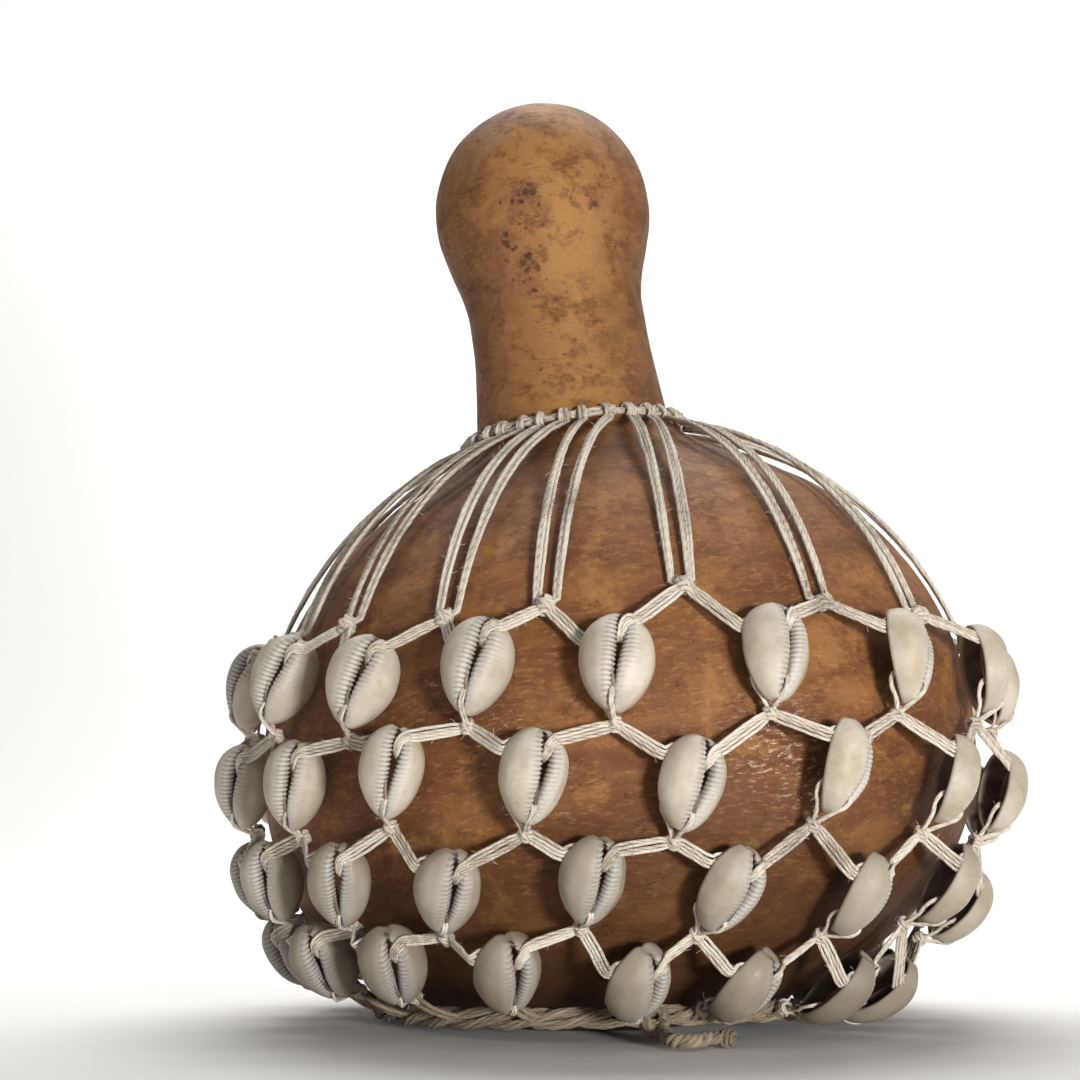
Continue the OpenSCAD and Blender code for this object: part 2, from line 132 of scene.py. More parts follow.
# Radius of the rind at a height over the widest ring
def skinR(z):
    if z < 0:
        return gourd["bodyR"] * max(0, 1 - (-z / gourd["bottomH"]) ** gourd["squareness"]) ** (1 / gourd["squareness"])
    if z < joinH:
        return gourd["bodyR"] * sqrt(1 - (z / gourd["shoulderH"]) ** 2)
    for p, q in zip(outline, outline[1:]):
        if z < q[0]:
            return curveBetween(p, q, z)
    return gourd["bulbR"] * sqrt(max(0, 1 - ((z - gourd["bulbH"]) / gourd["capH"]) ** 2))


def skinNormal(z):
    step = gourd["bodyR"] / 2000
    return Vector((2 * step, skinR(z - step) - skinR(z + step))).normalized()


def aim(turn):
    return sin(radians(turn)), -cos(radians(turn))


# A point over the rind, at an angle round the gourd and a height over its widest ring
def overSkin(turn, z, lift):
    n, (sx, sy) = skinNormal(z), aim(turn)
    r = skinR(z) + lift * n[0]
    return Vector((r * sx, r * sy, z + lift * n[1]))


def outward(turn, z):
    n, (sx, sy) = skinNormal(z), aim(turn)
    return Vector((n[0] * sx, n[0] * sy, n[1]))


def turnOf(p):
    return degrees(atan2(p[0], -p[1]))


def heightOf(p):
    return (hypot(p[0], p[1]) - skinR(p[2])) * skinNormal(p[2])[0]


# From the leaning gourd's millimetres to the object's metres
def standing(p):
    p = leanTurn @ Vector(p)
    return Vector((p.x, p.y, p.z + gourd["standH"])) / metre


# The net: where its knots are round the gourd, row by row, as in the part's source
net = {
    "columns": 18, "cordGap": 0.4, "bounce": 1.5, "netLift": 1, "knotR": 1.6, "firstKnotR": 2.2,
    "backLift": 3.9, "edgeGap": 0.9, "tipGap": 0.8, "collarH": 75, "collarR": 24.43, "hitchR": 2.32,
    "hitchLow": -50, "hookDraw": 0.95, "pairSpread": 6.2, "pairClosing": 1.5, "strandEndRise": 1.7,
    "strandLift": 2.4, "strandR": 1, "plies": 3, "plyTurnR": 1.3, "plyR": 1.05, "ringShare": -0.62,
    "ringTilt": -0.015, "gatherR": 3.3, "ringTwists": 12, "linkLead": 4,
}
rowShare = [0.295, 0.035, -0.205, -0.42, -0.585]
hitchTurns = [-95, -75, -55, -32, -10, 12, 37, 60, 80, 99, 117, 136, 154, 173, 191, 210, 229, 248]
knotTurns = [
    [-98, -78, -58, -42.5, -23, -7.5, 12.5, 33.5, 54, 77, 97, 117, 138, 159, 180, 201, 222, 242],
    [-91, -74, -57, -38.5, -19.5, 0, 20.5, 41, 62, 84, 104, 124.5, 145.5, 166.5, 187.5, 208.5, 229, 249],
    [-87, -70, -51.5, -33, -13.5, 5.5, 25, 45.5, 68, 90, 110, 130.5, 151.5, 172.5, 193.5, 215, 235, 255],
    [-83, -65, -47, -30, -9, 8, 30, 51, 74.5, 95.5, 115.5, 136.5, 158, 179, 200, 220.5, 240.5, 260],
    [-80, -62.5, -45.5, -26, -6.5, 10.5, 33, 56, 79, 100, 121, 142, 163.5, 184.5, 205.5, 225.5, 245, 263],
]
knotRises = [  # percent of the gourd's radius
    [0, -1.2, -2.5, -1, -1.1, 0.9, 6, 3.1, 2.4, -0.4, 1.5, -1, 0.8, 1.9, -0.8, 1.1, -1.2, 0.6],
    [0.8, -0.5, -1.2, -3.4, -1, -0.8, 2.2, 2.9, 2.5, 1.9, -0.6, 1, -1.3, 0.5, 1.4, -0.9, 0.3, -1],
    [0.5, -0.6, -1.2, 1, -0.4, -2, 2.2, 0.7, -0.6, -2.2, 0.9, -0.5, 1.3, -1.1, 0.4, 1, -0.8, 0.6],
    [-0.4, 0.6, 0, -1.1, 0.9, -0.4, -0.4, 2, -2, 0.5, -1, 0.8, 1.2, -0.6, 0.3, -1.2, 0.9, -0.3],
    [2.4, 2.2, 2, 1.2, -0.4, -0.9, -0.6, -0.7, -0.8, -0.6, -0.4, 0, 0.6, -0.4, 0.8, 1.2, 1.6, 2.2],
]
shellRolls = [  # degrees that each shell is rolled round its length
    [20, 24, 38, 30, 15, 0, 22, 33, 38, 30, 24, 18, 26, 30, 16, 22, 28, 20],
    [25, 42, 38, 36, 39, 25, 43, 45, 38, 32, 24, 28, 16, 22, 30, 18, 26, 22],
    [28, 42, 40, 38, 26, 28, 36, 42, 36, 26, 30, 18, 24, 28, 20, 30, 22, 26],
    [30, 42, 40, 42, 39, 34, 44, 42, 34, 28, 20, 26, 30, 18, 24, 22, 30, 26],
]
shellShare = [1.02, 0.97, 0.96, 1.03]
columns = net["columns"]


def hang(z):
    return net["cordGap"] + net["bounce"] * max(0, -skinNormal(z)[1])


# Height on the leaning gourd of a row that hangs level
def level(share, turn):
    h, lean = share * gourd["bodyR"], radians(gourd["lean"])
    return h / cos(lean) - skinR(h) * tan(lean) * aim(turn)[0]


def knotTurn(row, i):
    return knotTurns[row][i % columns] + (360 if i >= columns else 0)


def knotZ(row, i):
    return level(rowShare[row], knotTurn(row, i)) + knotRises[row][i % columns] / 100 * gourd["bodyR"]


def liftOf(row, i):
    roll = radians(shellRolls[row][i % columns])
    return max(net["backLift"], net["edgeGap"] + shellShare[row] * cowrie["width"] / 2 * sin(roll))


def knotPlace(row, i):
    lift = net["firstKnotR"]
    if row:
        lift = net["netLift"] + net["knotR"] + (liftOf(row - 1, i) - net["backLift"]) / 2
    z = knotZ(row, i)
    return overSkin(knotTurn(row, i), z, hang(z) + lift)


# Middle, X, Y and Z of a shell: X across, Y up its length and Z out of its face
def cowrieFrame(row, i):
    footTurn, footZ = knotTurns[row + 1][i], knotZ(row + 1, i)
    span = shellShare[row] * cowrie["length"] + 2 * net["tipGap"]
    headTurn = (knotTurn(row, i) + knotTurn(row, i + 1)) / 2
    headZ = footZ + span * skinNormal(footZ + span / 2 * skinNormal(footZ)[0])[0]
    foot, head = overSkin(footTurn, footZ, hang(footZ)), overSkin(headTurn, headZ, hang(headZ))
    y = (head - foot).normalized()
    n = outward((headTurn + footTurn) / 2, (headZ + footZ) / 2)
    out = (n - n.dot(y) * y).normalized()
    roll = radians(shellRolls[row][i])
    z = cos(roll) * out + sin(roll) * y.cross(out)
    return (head + foot) / 2 + liftOf(row, i) * out, y.cross(z), y, z


def onCowrie(row, i, p):
    middle, x, y, z = shellFrames[row][i]
    return middle + shellShare[row] * (p[0] * x + p[1] * y + p[2] * z)


# Money cowrie with its back cut off: a rind with a toothed slit, seen from its face
cowrie = {
    "length": 19, "width": 14, "axisH": 1.6, "domeH": 5.3, "wall": 1.0, "plumpness": 2.25, "slitReach": 8.9,
    "slant": 0.075, "lipRoll": 1.4, "lipDrop": 2.1, "toothPitch": 0.88, "toothReach": 0.55, "toothRise": 0.26,
    "around": 188, "faceSteps": 12, "bladeSteps": 12, "variants": 3,
    # The last list, per row: painted shade that darkens the lower rows of shells
    "breadth": [0.99, 0.93, 0.95, 0.92], "grime": [0, 0.08, 0.6, 1.05],
}
shellFrames = [[cowrieFrame(row, i) for i in range(columns)] for row in range(4)]


# Half the shell's width at a share of its length: an egg, blunt above and pointed below
def outlineShare(s):
    power = np.where(np.asarray(s) > 0, 2.5, 1.75)
    return np.maximum(1 - np.abs(s) ** power, 0) ** 0.6 * (1 + 0.05 * np.asarray(s))


# Height of a shell's face over its cut, at a place across and along it
def shellTop(x, y, grow=0.0):
    halfL, halfW = cowrie["length"] / 2 - grow, cowrie["width"] / 2 - grow
    power = cowrie["plumpness"]
    inside = outlineShare(np.clip(np.asarray(y) / halfL, -1, 1)) ** power - (np.abs(x) / halfW) ** power
    return cowrie["axisH"] + (cowrie["domeH"] - grow) * np.maximum(inside, 0) ** (1 / power)


# Gives every point of a mesh its value under each name; a vector is three numbers in a row
def storeOnPoints(mesh, form, **named):
    for name, values in named.items():
        part = "vector" if form == "FLOAT_VECTOR" else "value"
        mesh.attributes.new(name, form, "POINT").data.foreach_set(part, values)


# One shell in rows of points: from the cut over the face, round the toothed lips and back inside
def cowrieMesh(name, seed):
    rng = np.random.default_rng(seed)
    n = cowrie["around"]
    q = np.arange(n) / n * 2 * pi
    s = 0.5 * np.sin(q) + 0.5 * 2 / pi * np.arcsin(np.sin(q))  # finer steps where the teeth are
    side, softSide = np.where(np.cos(q) >= 0, 1.0, -1.0), np.clip(np.cos(q) * 7, -1, 1)
    halfL, halfW = cowrie["length"] / 2, cowrie["width"] / 2
    width = halfW * outlineShare(s)
    rim = np.stack([side * width, halfL * s], 1)
    notch = np.exp(-((rim[:, 0] - 0.7 * np.sign(s)) / 0.9) ** 2) * (np.abs(s) > 0.9)
    rim[:, 1] -= np.sign(s) * notch * np.where(s > 0, 0.75, 0.35)
    slitHalf = np.interp(s, [-1, -0.8, -0.45, 0, 0.4, 0.7, 0.9, 1], [0.12, 0.15, 0.34, 0.66, 0.98, 1.02, 0.5, 0.16])
    slitHalf *= rng.uniform(0.95, 1.2)
    lipY = cowrie["slitReach"] * s
    lipMid = cowrie["slant"] * lipY + 0.25 * np.sin(s * 3)
    lip = np.stack([lipMid + softSide * slitHalf, lipY], 1)
    gap = rim - lip
    d = np.linalg.norm(gap, axis=1)[:, None]
    away = gap / d
    roll = np.minimum(cowrie["lipRoll"], 0.45 * d)
    body = 1 - s[:, None] ** 4
    drop = 0.7 + (cowrie["lipDrop"] - 0.7) * body
    wave = lipY / cowrie["toothPitch"] * 2 * pi + np.where(side > 0, 1.3, 0) + rng.uniform(0, 6)
    wave += 0.5 * np.sin(s * 9 + seed)
    tooth = ((0.5 + 0.5 * np.cos(wave)) ** 0.8)[:, None] * (1 - s[:, None] ** 8)
    strong = np.where(side > 0, np.interp(s, [-1, -0.4, 0.1, 1], [0.35, 0.3, 0.75, 0.8]), 1.0)[:, None]
    swell = np.where(side > 0, 0.42, 0.2)[:, None] * body
    ridged = np.where(side > 0, np.interp(s, [-1, -0.5, 0, 0.3, 1], [0.5, 0.25, 0.5, 1, 1]), 0.1)[:, None]
    rows, marks = [], []

    def addRow(plan, z, lipTone=0.0, hollow=0.0, cut=0.0):  # hollow: dust and painted shade inside; cut: painted shade in the gaps between the teeth
        z = np.broadcast_to(np.asarray(z, float).reshape(-1, 1), (n, 1))
        rows.append(np.concatenate([plan, z], 1))
        marks.append(np.concatenate([np.full((n, 2), (lipTone, hollow)), cut * (1 - tooth) * strong], 1))

    def shown(plan):
        return shellTop(plan[:, 0], plan[:, 1])[:, None]

    addRow(rim * 0.985, 0)
    addRow(rim * 0.997, 0.6)
    addRow(rim, cowrie["axisH"])
    for k in range(1, cowrie["faceSteps"] + 1):
        g = (k / cowrie["faceSteps"]) ** 1.35
        plan = rim - gap * g * (1 - roll / d)
        near, ridge = max(0, (g - 0.45) / 0.55), min(1, max(0, (g - 0.3) / 0.4))
        edge = max(0, (g - 0.74) / 0.26)
        z = shown(plan) + swell * sin(pi * min(1, near)) * 0.6 + swell * near * 0.4
        z = z + cowrie["toothRise"] * (tooth - 0.4) * (edge * strong * (1 - ridged) + ridge * ridged) * 0.7
        addRow(plan, z, 0.55 * near, cut=0.5 * edge + 0.12 * near)
    for angle, right, left in ((22, 0.5, 0.05), (44, 0.8, 0.3), (62, 1, 0.8), (77, 1, 1), (90, 0.9, 1)):
        a, weight = radians(angle), np.where(side > 0, right, left)[:, None]
        plan = lip + away * roll * (1 - sin(a)) - away * cowrie["toothReach"] * tooth * weight * strong
        z = shown(lip + away * roll * (1 - sin(a))) + swell * 0.4 * cos(a)
        z = z - drop * (1 - cos(a)) + cowrie["toothRise"] * (tooth - 0.5) * weight * strong
        addRow(plan, z, 1 - 0.2 * (angle > 70), 0.0 if angle < 60 else 0.25 if angle < 80 else 0.5, 0.5 + angle / 180)
    under = lip + away * 0.4 - away * 0.3 * tooth * strong
    addRow(under, shown(lip) - drop - 0.5 * body, 0.5, 0.8)
    innerRim = rim * np.array([(halfW - cowrie["wall"]) / halfW, (halfL - cowrie["wall"]) / halfL])
    for g in (0.86, 0.62, 0.38, 0.17, 0.03):
        plan = innerRim + (lip - innerRim) * g
        z = shellTop(plan[:, 0], plan[:, 1], cowrie["wall"])
        addRow(plan, z, 0.1, 1)
    addRow(innerRim, 0.7, 0.1, 0.9)
    addRow(innerRim * 1.01, 0, 0.3, 0.5)
    points = np.concatenate(rows)
    wobble = rng.normal(0, 1, (4, 3))
    for k in range(4):  # no two shells grow alike
        along = points[:, 1] / halfL * (k + 1)
        points[:, 0] += 0.09 * wobble[k, 0] * np.sin(along * 1.6 + k) * np.abs(points[:, 0]) / halfW
        points[:, 2] += 0.05 * wobble[k, 1] * np.sin(along * 2) * (points[:, 2] > 3)
    count = len(rows)
    faces = [(r * n + k, r * n + (k + 1) % n, (r + 1) % count * n + (k + 1) % n, (r + 1) % count * n + k)
             for r in range(count) for k in range(n)]
    # The columella: a blade left inside, running aslant
    points, marks = points.tolist(), np.concatenate(marks).tolist()
    first, steps = len(points), cowrie["bladeSteps"]
    for k in range(steps + 1):
        t = k / steps * 2 - 1
        y = t * halfL * 0.66
        x = -1.2 - 1.6 * t + 0.5 * sin(2 * t)
        roof = float(shellTop(x, y, cowrie["wall"])) + 0.3
        foot = 1.2 + 1.1 * t * t
        for dx, z in ((-0.35, roof), (-0.45, foot + 0.4), (0, foot), (0.45, foot + 0.4), (0.35, roof)):
            points.append((x + dx, y, z))
            marks.append((0.2, 0.85, 0.0))
    for k in range(steps):
        for j in range(5):
            a, b = first + k * 5 + j, first + k * 5 + (j + 1) % 5
            faces.append((a, a + 5, b + 5, b))
    faces += [tuple(end + j for j in range(5)) for end in (first, first + steps * 5)]
    mesh = bpy.data.meshes.new(name)
    mesh.from_pydata([[c / metre for c in p] for p in points], [], faces)
    storeOnPoints(mesh, "FLOAT", **dict(zip(("lipTone", "hollow", "grooveShade"), zip(*marks))))
    sheet = bmesh.new()
    sheet.from_mesh(mesh)
    bmesh.ops.recalc_face_normals(sheet, faces=sheet.faces)
    sheet.to_mesh(mesh)
    sheet.free()
    mesh.shade_smooth()
    return mesh


# Geometry Nodes: trees with named inputs, each with its own adder of nodes, run on a mesh and turned into a
# plain mesh again
def newTree(name, inputs):
    tree = bpy.data.node_groups.new(name, "GeometryNodeTree")
    for label, kind in {"Geometry": "Geometry", **inputs, "Material": "Material"}.items():
        tree.interface.new_socket(label, in_out="INPUT", socket_type="NodeSocket" + kind)
    tree.interface.new_socket("Geometry", in_out="OUTPUT", socket_type="NodeSocketGeometry")
    return tree, partial(addNode, tree), tree.nodes.new("NodeGroupInput").outputs


def endTree(add, last, material):
    real = add("GeometryNodeRealizeInstances", {"Geometry": last})
    painted = add("GeometryNodeSetMaterial", {"Geometry": real, "Material": material})
    add("NodeGroupOutput", {"Geometry": painted})


def runTree(name, mesh, tree, values):
    thing = newObject(name, mesh)
    modifier = thing.modifiers.new("maker", "NODES")
    modifier.node_group = tree
    for item in tree.interface.items_tree:
        if item.in_out == "INPUT" and item.name in values:
            modifier[item.identifier] = values[item.name]
    graph = bpy.context.evaluated_depsgraph_get()
    thing.data = bpy.data.meshes.new_from_object(
        thing.evaluated_get(graph), preserve_all_data_layers=True, depsgraph=graph)
    thing.modifiers.clear()
    thing.data.name = name
    return thing


# Lays several yarns side by side, or round each other, along every guide
def yarnTree():
    tree, add, given = newTree("layYarns", {
        "Yarns": "Int", "Spacing": "Float", "Yarn radius": "Float", "Roundness": "Float", "Looseness": "Float",
        "Sides": "Int", "Seed": "Int"})
    guides = add("GeometryNodeMeshToCurve", {"Mesh": given["Geometry"]})
    along = add("GeometryNodeSplineParameter").outputs["Length"]
    guides = add("GeometryNodeStoreNamedAttribute", {"Geometry": guides, "Name": "along", "Value": along},
                 data_type="FLOAT", domain="POINT")
    many = add("GeometryNodeDuplicateElements", {"Geometry": guides, "Amount": given["Yarns"]}, domain="SPLINE")
    place = add("GeometryNodeInputPosition")
    shift = add("ShaderNodeMath", (many.outputs["Duplicate Index"], 7.31, given["Seed"]), operation="MULTIPLY_ADD")
    waver = add("ShaderNodeTexNoise", {"Vector": place, "W": shift, "Scale": 210.0, "Detail": 1.0},
                noise_dimensions="4D")
    wires = {
        **{socket.name: socket for socket in given}, "index": many.outputs["Duplicate Index"],
        "waver": waver.outputs["Color"], "tangent": add("GeometryNodeInputTangent")}
    for name, kind in (("away", "FLOAT_VECTOR"), ("lay", "FLOAT"), ("spread", "FLOAT")):
        wires[name] = add("GeometryNodeInputNamedAttribute", {"Name": name}, data_type=kind)
    for name, kind, operation, *inputs in (
            # the two ways across the guide
            ("side", "VectorMath", "CROSS_PRODUCT", "tangent", "away"),
            ("side", "VectorMath", "NORMALIZE", "side"),
            ("up", "VectorMath", "CROSS_PRODUCT", "side", "tangent"),
            # a yarn's place in a flat band
            ("middle", "Math", "MULTIPLY_ADD", "Yarns", 0.5, -0.5),
            ("across", "Math", "SUBTRACT", "index", "middle"),
            ("across", "Math", "MULTIPLY", "across", "Spacing"),
            # its place in a round bundle, and the mix of the two
            ("turn", "Math", "DIVIDE", "index", "Yarns"),
            ("turn", "Math", "MULTIPLY_ADD", "turn", 2 * pi, "lay"),
            ("reach", "Math", "MULTIPLY", "Spacing", "Roundness"),
            ("reach", "Math", "MULTIPLY", "reach", 0.6),
            ("roundA", "Math", "COSINE", "turn"),
            ("roundA", "Math", "MULTIPLY", "roundA", "reach"),
            ("roundB", "Math", "SINE", "turn"),
            ("roundB", "Math", "MULTIPLY", "roundB", "reach"),
            ("flatness", "Math", "SUBTRACT", 1.0, "Roundness"),
            ("across", "Math", "MULTIPLY_ADD", "across", "flatness", "roundA"),
            ("side", "VectorMath", "MULTIPLY", "side", "across"),
            ("up", "VectorMath", "MULTIPLY", "up", "roundB"),
            ("offset", "VectorMath", "ADD", "side", "up"),
            # how it strays from there
            ("stray", "VectorMath", "SUBTRACT", "waver", (0.5, 0.5, 0.5)),
            ("loose", "Math", "MULTIPLY", "Looseness", 4.0),
            ("stray", "VectorMath", "MULTIPLY", "stray", "loose"),
            ("offset", "VectorMath", "ADD", "offset", "stray"),
            ("offset", "VectorMath", "MULTIPLY", "offset", "spread")):
        wires[name] = add("ShaderNode" + kind, [wires.get(value, value) for value in inputs], operation=operation)
    laid = add("GeometryNodeSetPosition", {"Geometry": many, "Offset": wires["offset"]})
    tone = add("FunctionNodeRandomValue", {"Seed": given["Seed"]}, data_type="FLOAT")
    toned = add("GeometryNodeStoreNamedAttribute", {"Geometry": laid, "Name": "tone", "Value": tone},
                data_type="FLOAT", domain="CURVE")
    ring = add("GeometryNodeCurvePrimitiveCircle", {"Resolution": given["Sides"], "Radius": given["Yarn radius"]})
    around = add("ShaderNodeVectorMath", {0: place}, operation="NORMALIZE")
    ring = add("GeometryNodeStoreNamedAttribute", {"Geometry": ring, "Name": "around", "Value": around},
               data_type="FLOAT_VECTOR", domain="POINT")
    tubes = add("GeometryNodeCurveToMesh", {"Curve": toned, "Profile Curve": ring, "Fill Caps": True})
    smooth = add("GeometryNodeSetShadeSmooth", {"Geometry": tubes, "Shade Smooth": True})
    endTree(add, smooth, given["Material"])
    return tree


# Sets one of several templates on every point, turned and sized by the point's attributes
def placeTree():
    tree, add, given = newTree("placeOnFrames", {"Templates": "Collection"})
    kinds = add("GeometryNodeCollectionInfo",
                {"Collection": given["Templates"], "Separate Children": True, "Reset Children": True})
    turned, size, kind = (add("GeometryNodeInputNamedAttribute", {"Name": name}, data_type=form)
                          for name, form in (("turned", "FLOAT_VECTOR"), ("size", "FLOAT_VECTOR"), ("kind", "INT")))
    turned = add("FunctionNodeEulerToRotation", {0: turned})
    points = add("GeometryNodeMeshToPoints", {"Mesh": given["Geometry"]})
    placed = add("GeometryNodeInstanceOnPoints", {
        "Points": points, "Instance": kinds, "Pick Instance": True, "Instance Index": kind, "Rotation": turned,
        "Scale": size})
    endTree(add, placed, given["Material"])
    return tree


# Short loose fibres that stand off the yarns, since cotton yarn is never clean
def fibreTree():
    tree, add, given = newTree("looseFibres", {"Density": "Float", "Fibre radius": "Float", "Seed": "Int"})
    spots = add("GeometryNodeDistributePointsOnFaces",
                {"Mesh": given["Geometry"], "Density": given["Density"], "Seed": given["Seed"]})
    bend = add("GeometryNodeCurveQuadraticBezier", {
        "Resolution": 3, "Start": (0, 0, -0.0002), "Middle": (0.0003, 0, 0.0005), "End": (0.0012, 0.0002, 0.00065)})
    ring = add("GeometryNodeCurvePrimitiveCircle", {"Resolution": 3, "Radius": given["Fibre radius"]})
    fibre = add("GeometryNodeCurveToMesh", {"Curve": bend, "Profile Curve": ring, "Fill Caps": True})
    whirl = add("FunctionNodeRandomValue",
                {0: (-0.5, -0.5, 0.0), 1: (0.5, 0.5, 6.283), "Seed": given["Seed"]}, data_type="FLOAT_VECTOR")
    whirl = add("FunctionNodeEulerToRotation", {0: whirl})
    turned = add("FunctionNodeRotateRotation", {0: spots.outputs["Rotation"], 1: whirl}, rotation_space="LOCAL")
    size = add("FunctionNodeRandomValue", {2: 0.35, 3: 1.1, "Seed": given["Seed"]}, data_type="FLOAT")
    hairs = add("GeometryNodeInstanceOnPoints", {"Points": spots, "Instance": fibre, "Rotation": turned, "Scale": size})
    real = add("GeometryNodeRealizeInstances", {"Geometry": hairs})
    lit = add("GeometryNodeStoreNamedAttribute", {"Geometry": real, "Name": "around", "Value": (1, 0, 0)},
              data_type="FLOAT_VECTOR", domain="POINT")
    endTree(add, lit, given["Material"])
    return tree


# Materials
def newMaterial(name):
    material = bpy.data.materials.new(name)
    material.use_nodes = True
    material.node_tree.nodes.clear()
    return material, partial(addNode, material.node_tree)


def endMaterial(add, inputs):
    shader = add("ShaderNodeBsdfPrincipled", inputs)
    add("ShaderNodeOutputMaterial", {"Surface": shader})


# Cotton yarn of two plies: matte, a soft sheen of loose fibre, a slanting groove between the plies painted darker as
# shade, a little dirt
def cottonYarn(name, look):
    material, add = newMaterial(name)
    around, along, tone = (add("ShaderNodeAttribute", attribute_name=label).outputs
                           for label in ("around", "along", "tone"))
    angle = add("ShaderNodeMath", (along["Fac"], pi * metre / look["pitch"]), operation="MULTIPLY")
    cosine, sine = (add("ShaderNodeMath", {0: angle}, operation=kind) for kind in ("COSINE", "SINE"))
    ply = add("ShaderNodeCombineXYZ", {"X": cosine, "Y": sine})
    facing = add("ShaderNodeVectorMath", (around["Vector"], ply), operation="DOT_PRODUCT")
    facing = add("ShaderNodeMath", {0: facing}, operation="ABSOLUTE")
    strand = add("ShaderNodeMapRange", (facing, 0, 0.5))
    place = add("ShaderNodeTexCoord").outputs["Object"]
    lint = add("ShaderNodeTexNoise", {"Vector": place, "Scale": 1900.0, "Detail": 4.0, "Roughness": 0.7})  # 0.5 mm
    worn = add("ShaderNodeTexNoise", {"Vector": place, "Scale": 90.0, "Detail": 3.0})  # 10 mm
    pale, dirt = (add("ShaderNodeMath", (lint, other), operation="ADD") for other in (tone["Fac"], worn))
    pale = add("ShaderNodeMapRange", (pale, 0.5, 1.35, 0, 0.8))
    dirt = add("ShaderNodeMapRange", (dirt, 1.02, 1.3, 0, look["dirt"]))
    # the colour of the groove between the plies is painted shade
    colour = linear(look["grooveShade"])
    for share, over in ((strand, "base"), (pale, "light"), (dirt, "soil")):
        colour = add("ShaderNodeMix", {0: share, 6: colour, 7: linear(look[over])}, data_type="RGBA")
    relief = add("ShaderNodeMath", (lint, 0.8, strand), operation="MULTIPLY_ADD")
    bump = add("ShaderNodeBump", {"Height": relief, "Strength": 0.6, "Distance": 0.0002})
    endMaterial(add, {
        "Base Color": colour, "Roughness": 0.9, "Normal": bump, "Sheen Weight": look["sheen"],
        "Sheen Roughness": 0.5, "Specular IOR Level": 0.15})
    return material


# Cowrie shell, handled and dusty: beige with a low polish, bluish white on the lips, a matte brown inside of dust and
# painted shade, painted shade between the teeth and on the lower rows
def cowrieShell():
    material, add = newMaterial("cowrieShell")
    lip, hollow, grooveShade, dustAndShade = (add("ShaderNodeAttribute", attribute_name=label).outputs["Fac"]
                                 for label in ("lipTone", "hollow", "grooveShade", "shade"))
    place = add("ShaderNodeTexCoord").outputs["Object"]
    cloud, grit = (add("ShaderNodeTexNoise", {"Vector": place, "Scale": scale, "Detail": detail, "Roughness": rough})
                   for scale, detail, rough in ((130.0, 4.0, 0.6), (900.0, 3.0, 0.7)))  # 8 mm and 1 mm
    blend = add("ShaderNodeMapRange", (cloud, 0.36, 0.64))
    specks = add("ShaderNodeMapRange", (grit, 0.56, 0.76, 0, 0.4))
    # the shade attribute: random dust, and painted shade that darkens the lower rows
    white, dustyAndShaded = (add("ShaderNodeMath", (wire, most), operation="MULTIPLY")
                    for wire, most in ((lip, 0.5), (dustAndShade, 0.6)))
    # inside: the hollow back and the blade in dark matte brown, dust and painted shade
    colour, inside = (add("ShaderNodeMix", {0: blend, 6: linear(low), 7: linear(high)}, data_type="RGBA")
                      for low, high in (("#b5a68f", "#cfc4b2"), ("#40342a", "#7b6d5e")))
    # the mix toward #6d5c48 is painted shade in the gaps between the teeth and round the lips
    for share, over in ((specks, linear("#94836b")), (dustyAndShaded, linear("#786c5c")), (white, linear("#cfd1cf")),
                        (grooveShade, linear("#6d5c48")), (hollow, inside)):
        colour = add("ShaderNodeMix", {0: share, 6: colour, 7: over}, data_type="RGBA")
    rough = add("ShaderNodeMapRange", (grit, 0.3, 0.7, 0.4, 0.65))
    rough = add("ShaderNodeMath", (hollow, 0.4, rough), operation="MULTIPLY_ADD", use_clamp=True)
    bump = add("ShaderNodeBump", {"Height": grit, "Strength": 0.25, "Distance": 0.0003})
    endMaterial(add, {
        "Base Color": colour, "Roughness": rough, "Normal": bump, "IOR": 1.53, "Specular IOR Level": 0.35})
    return material
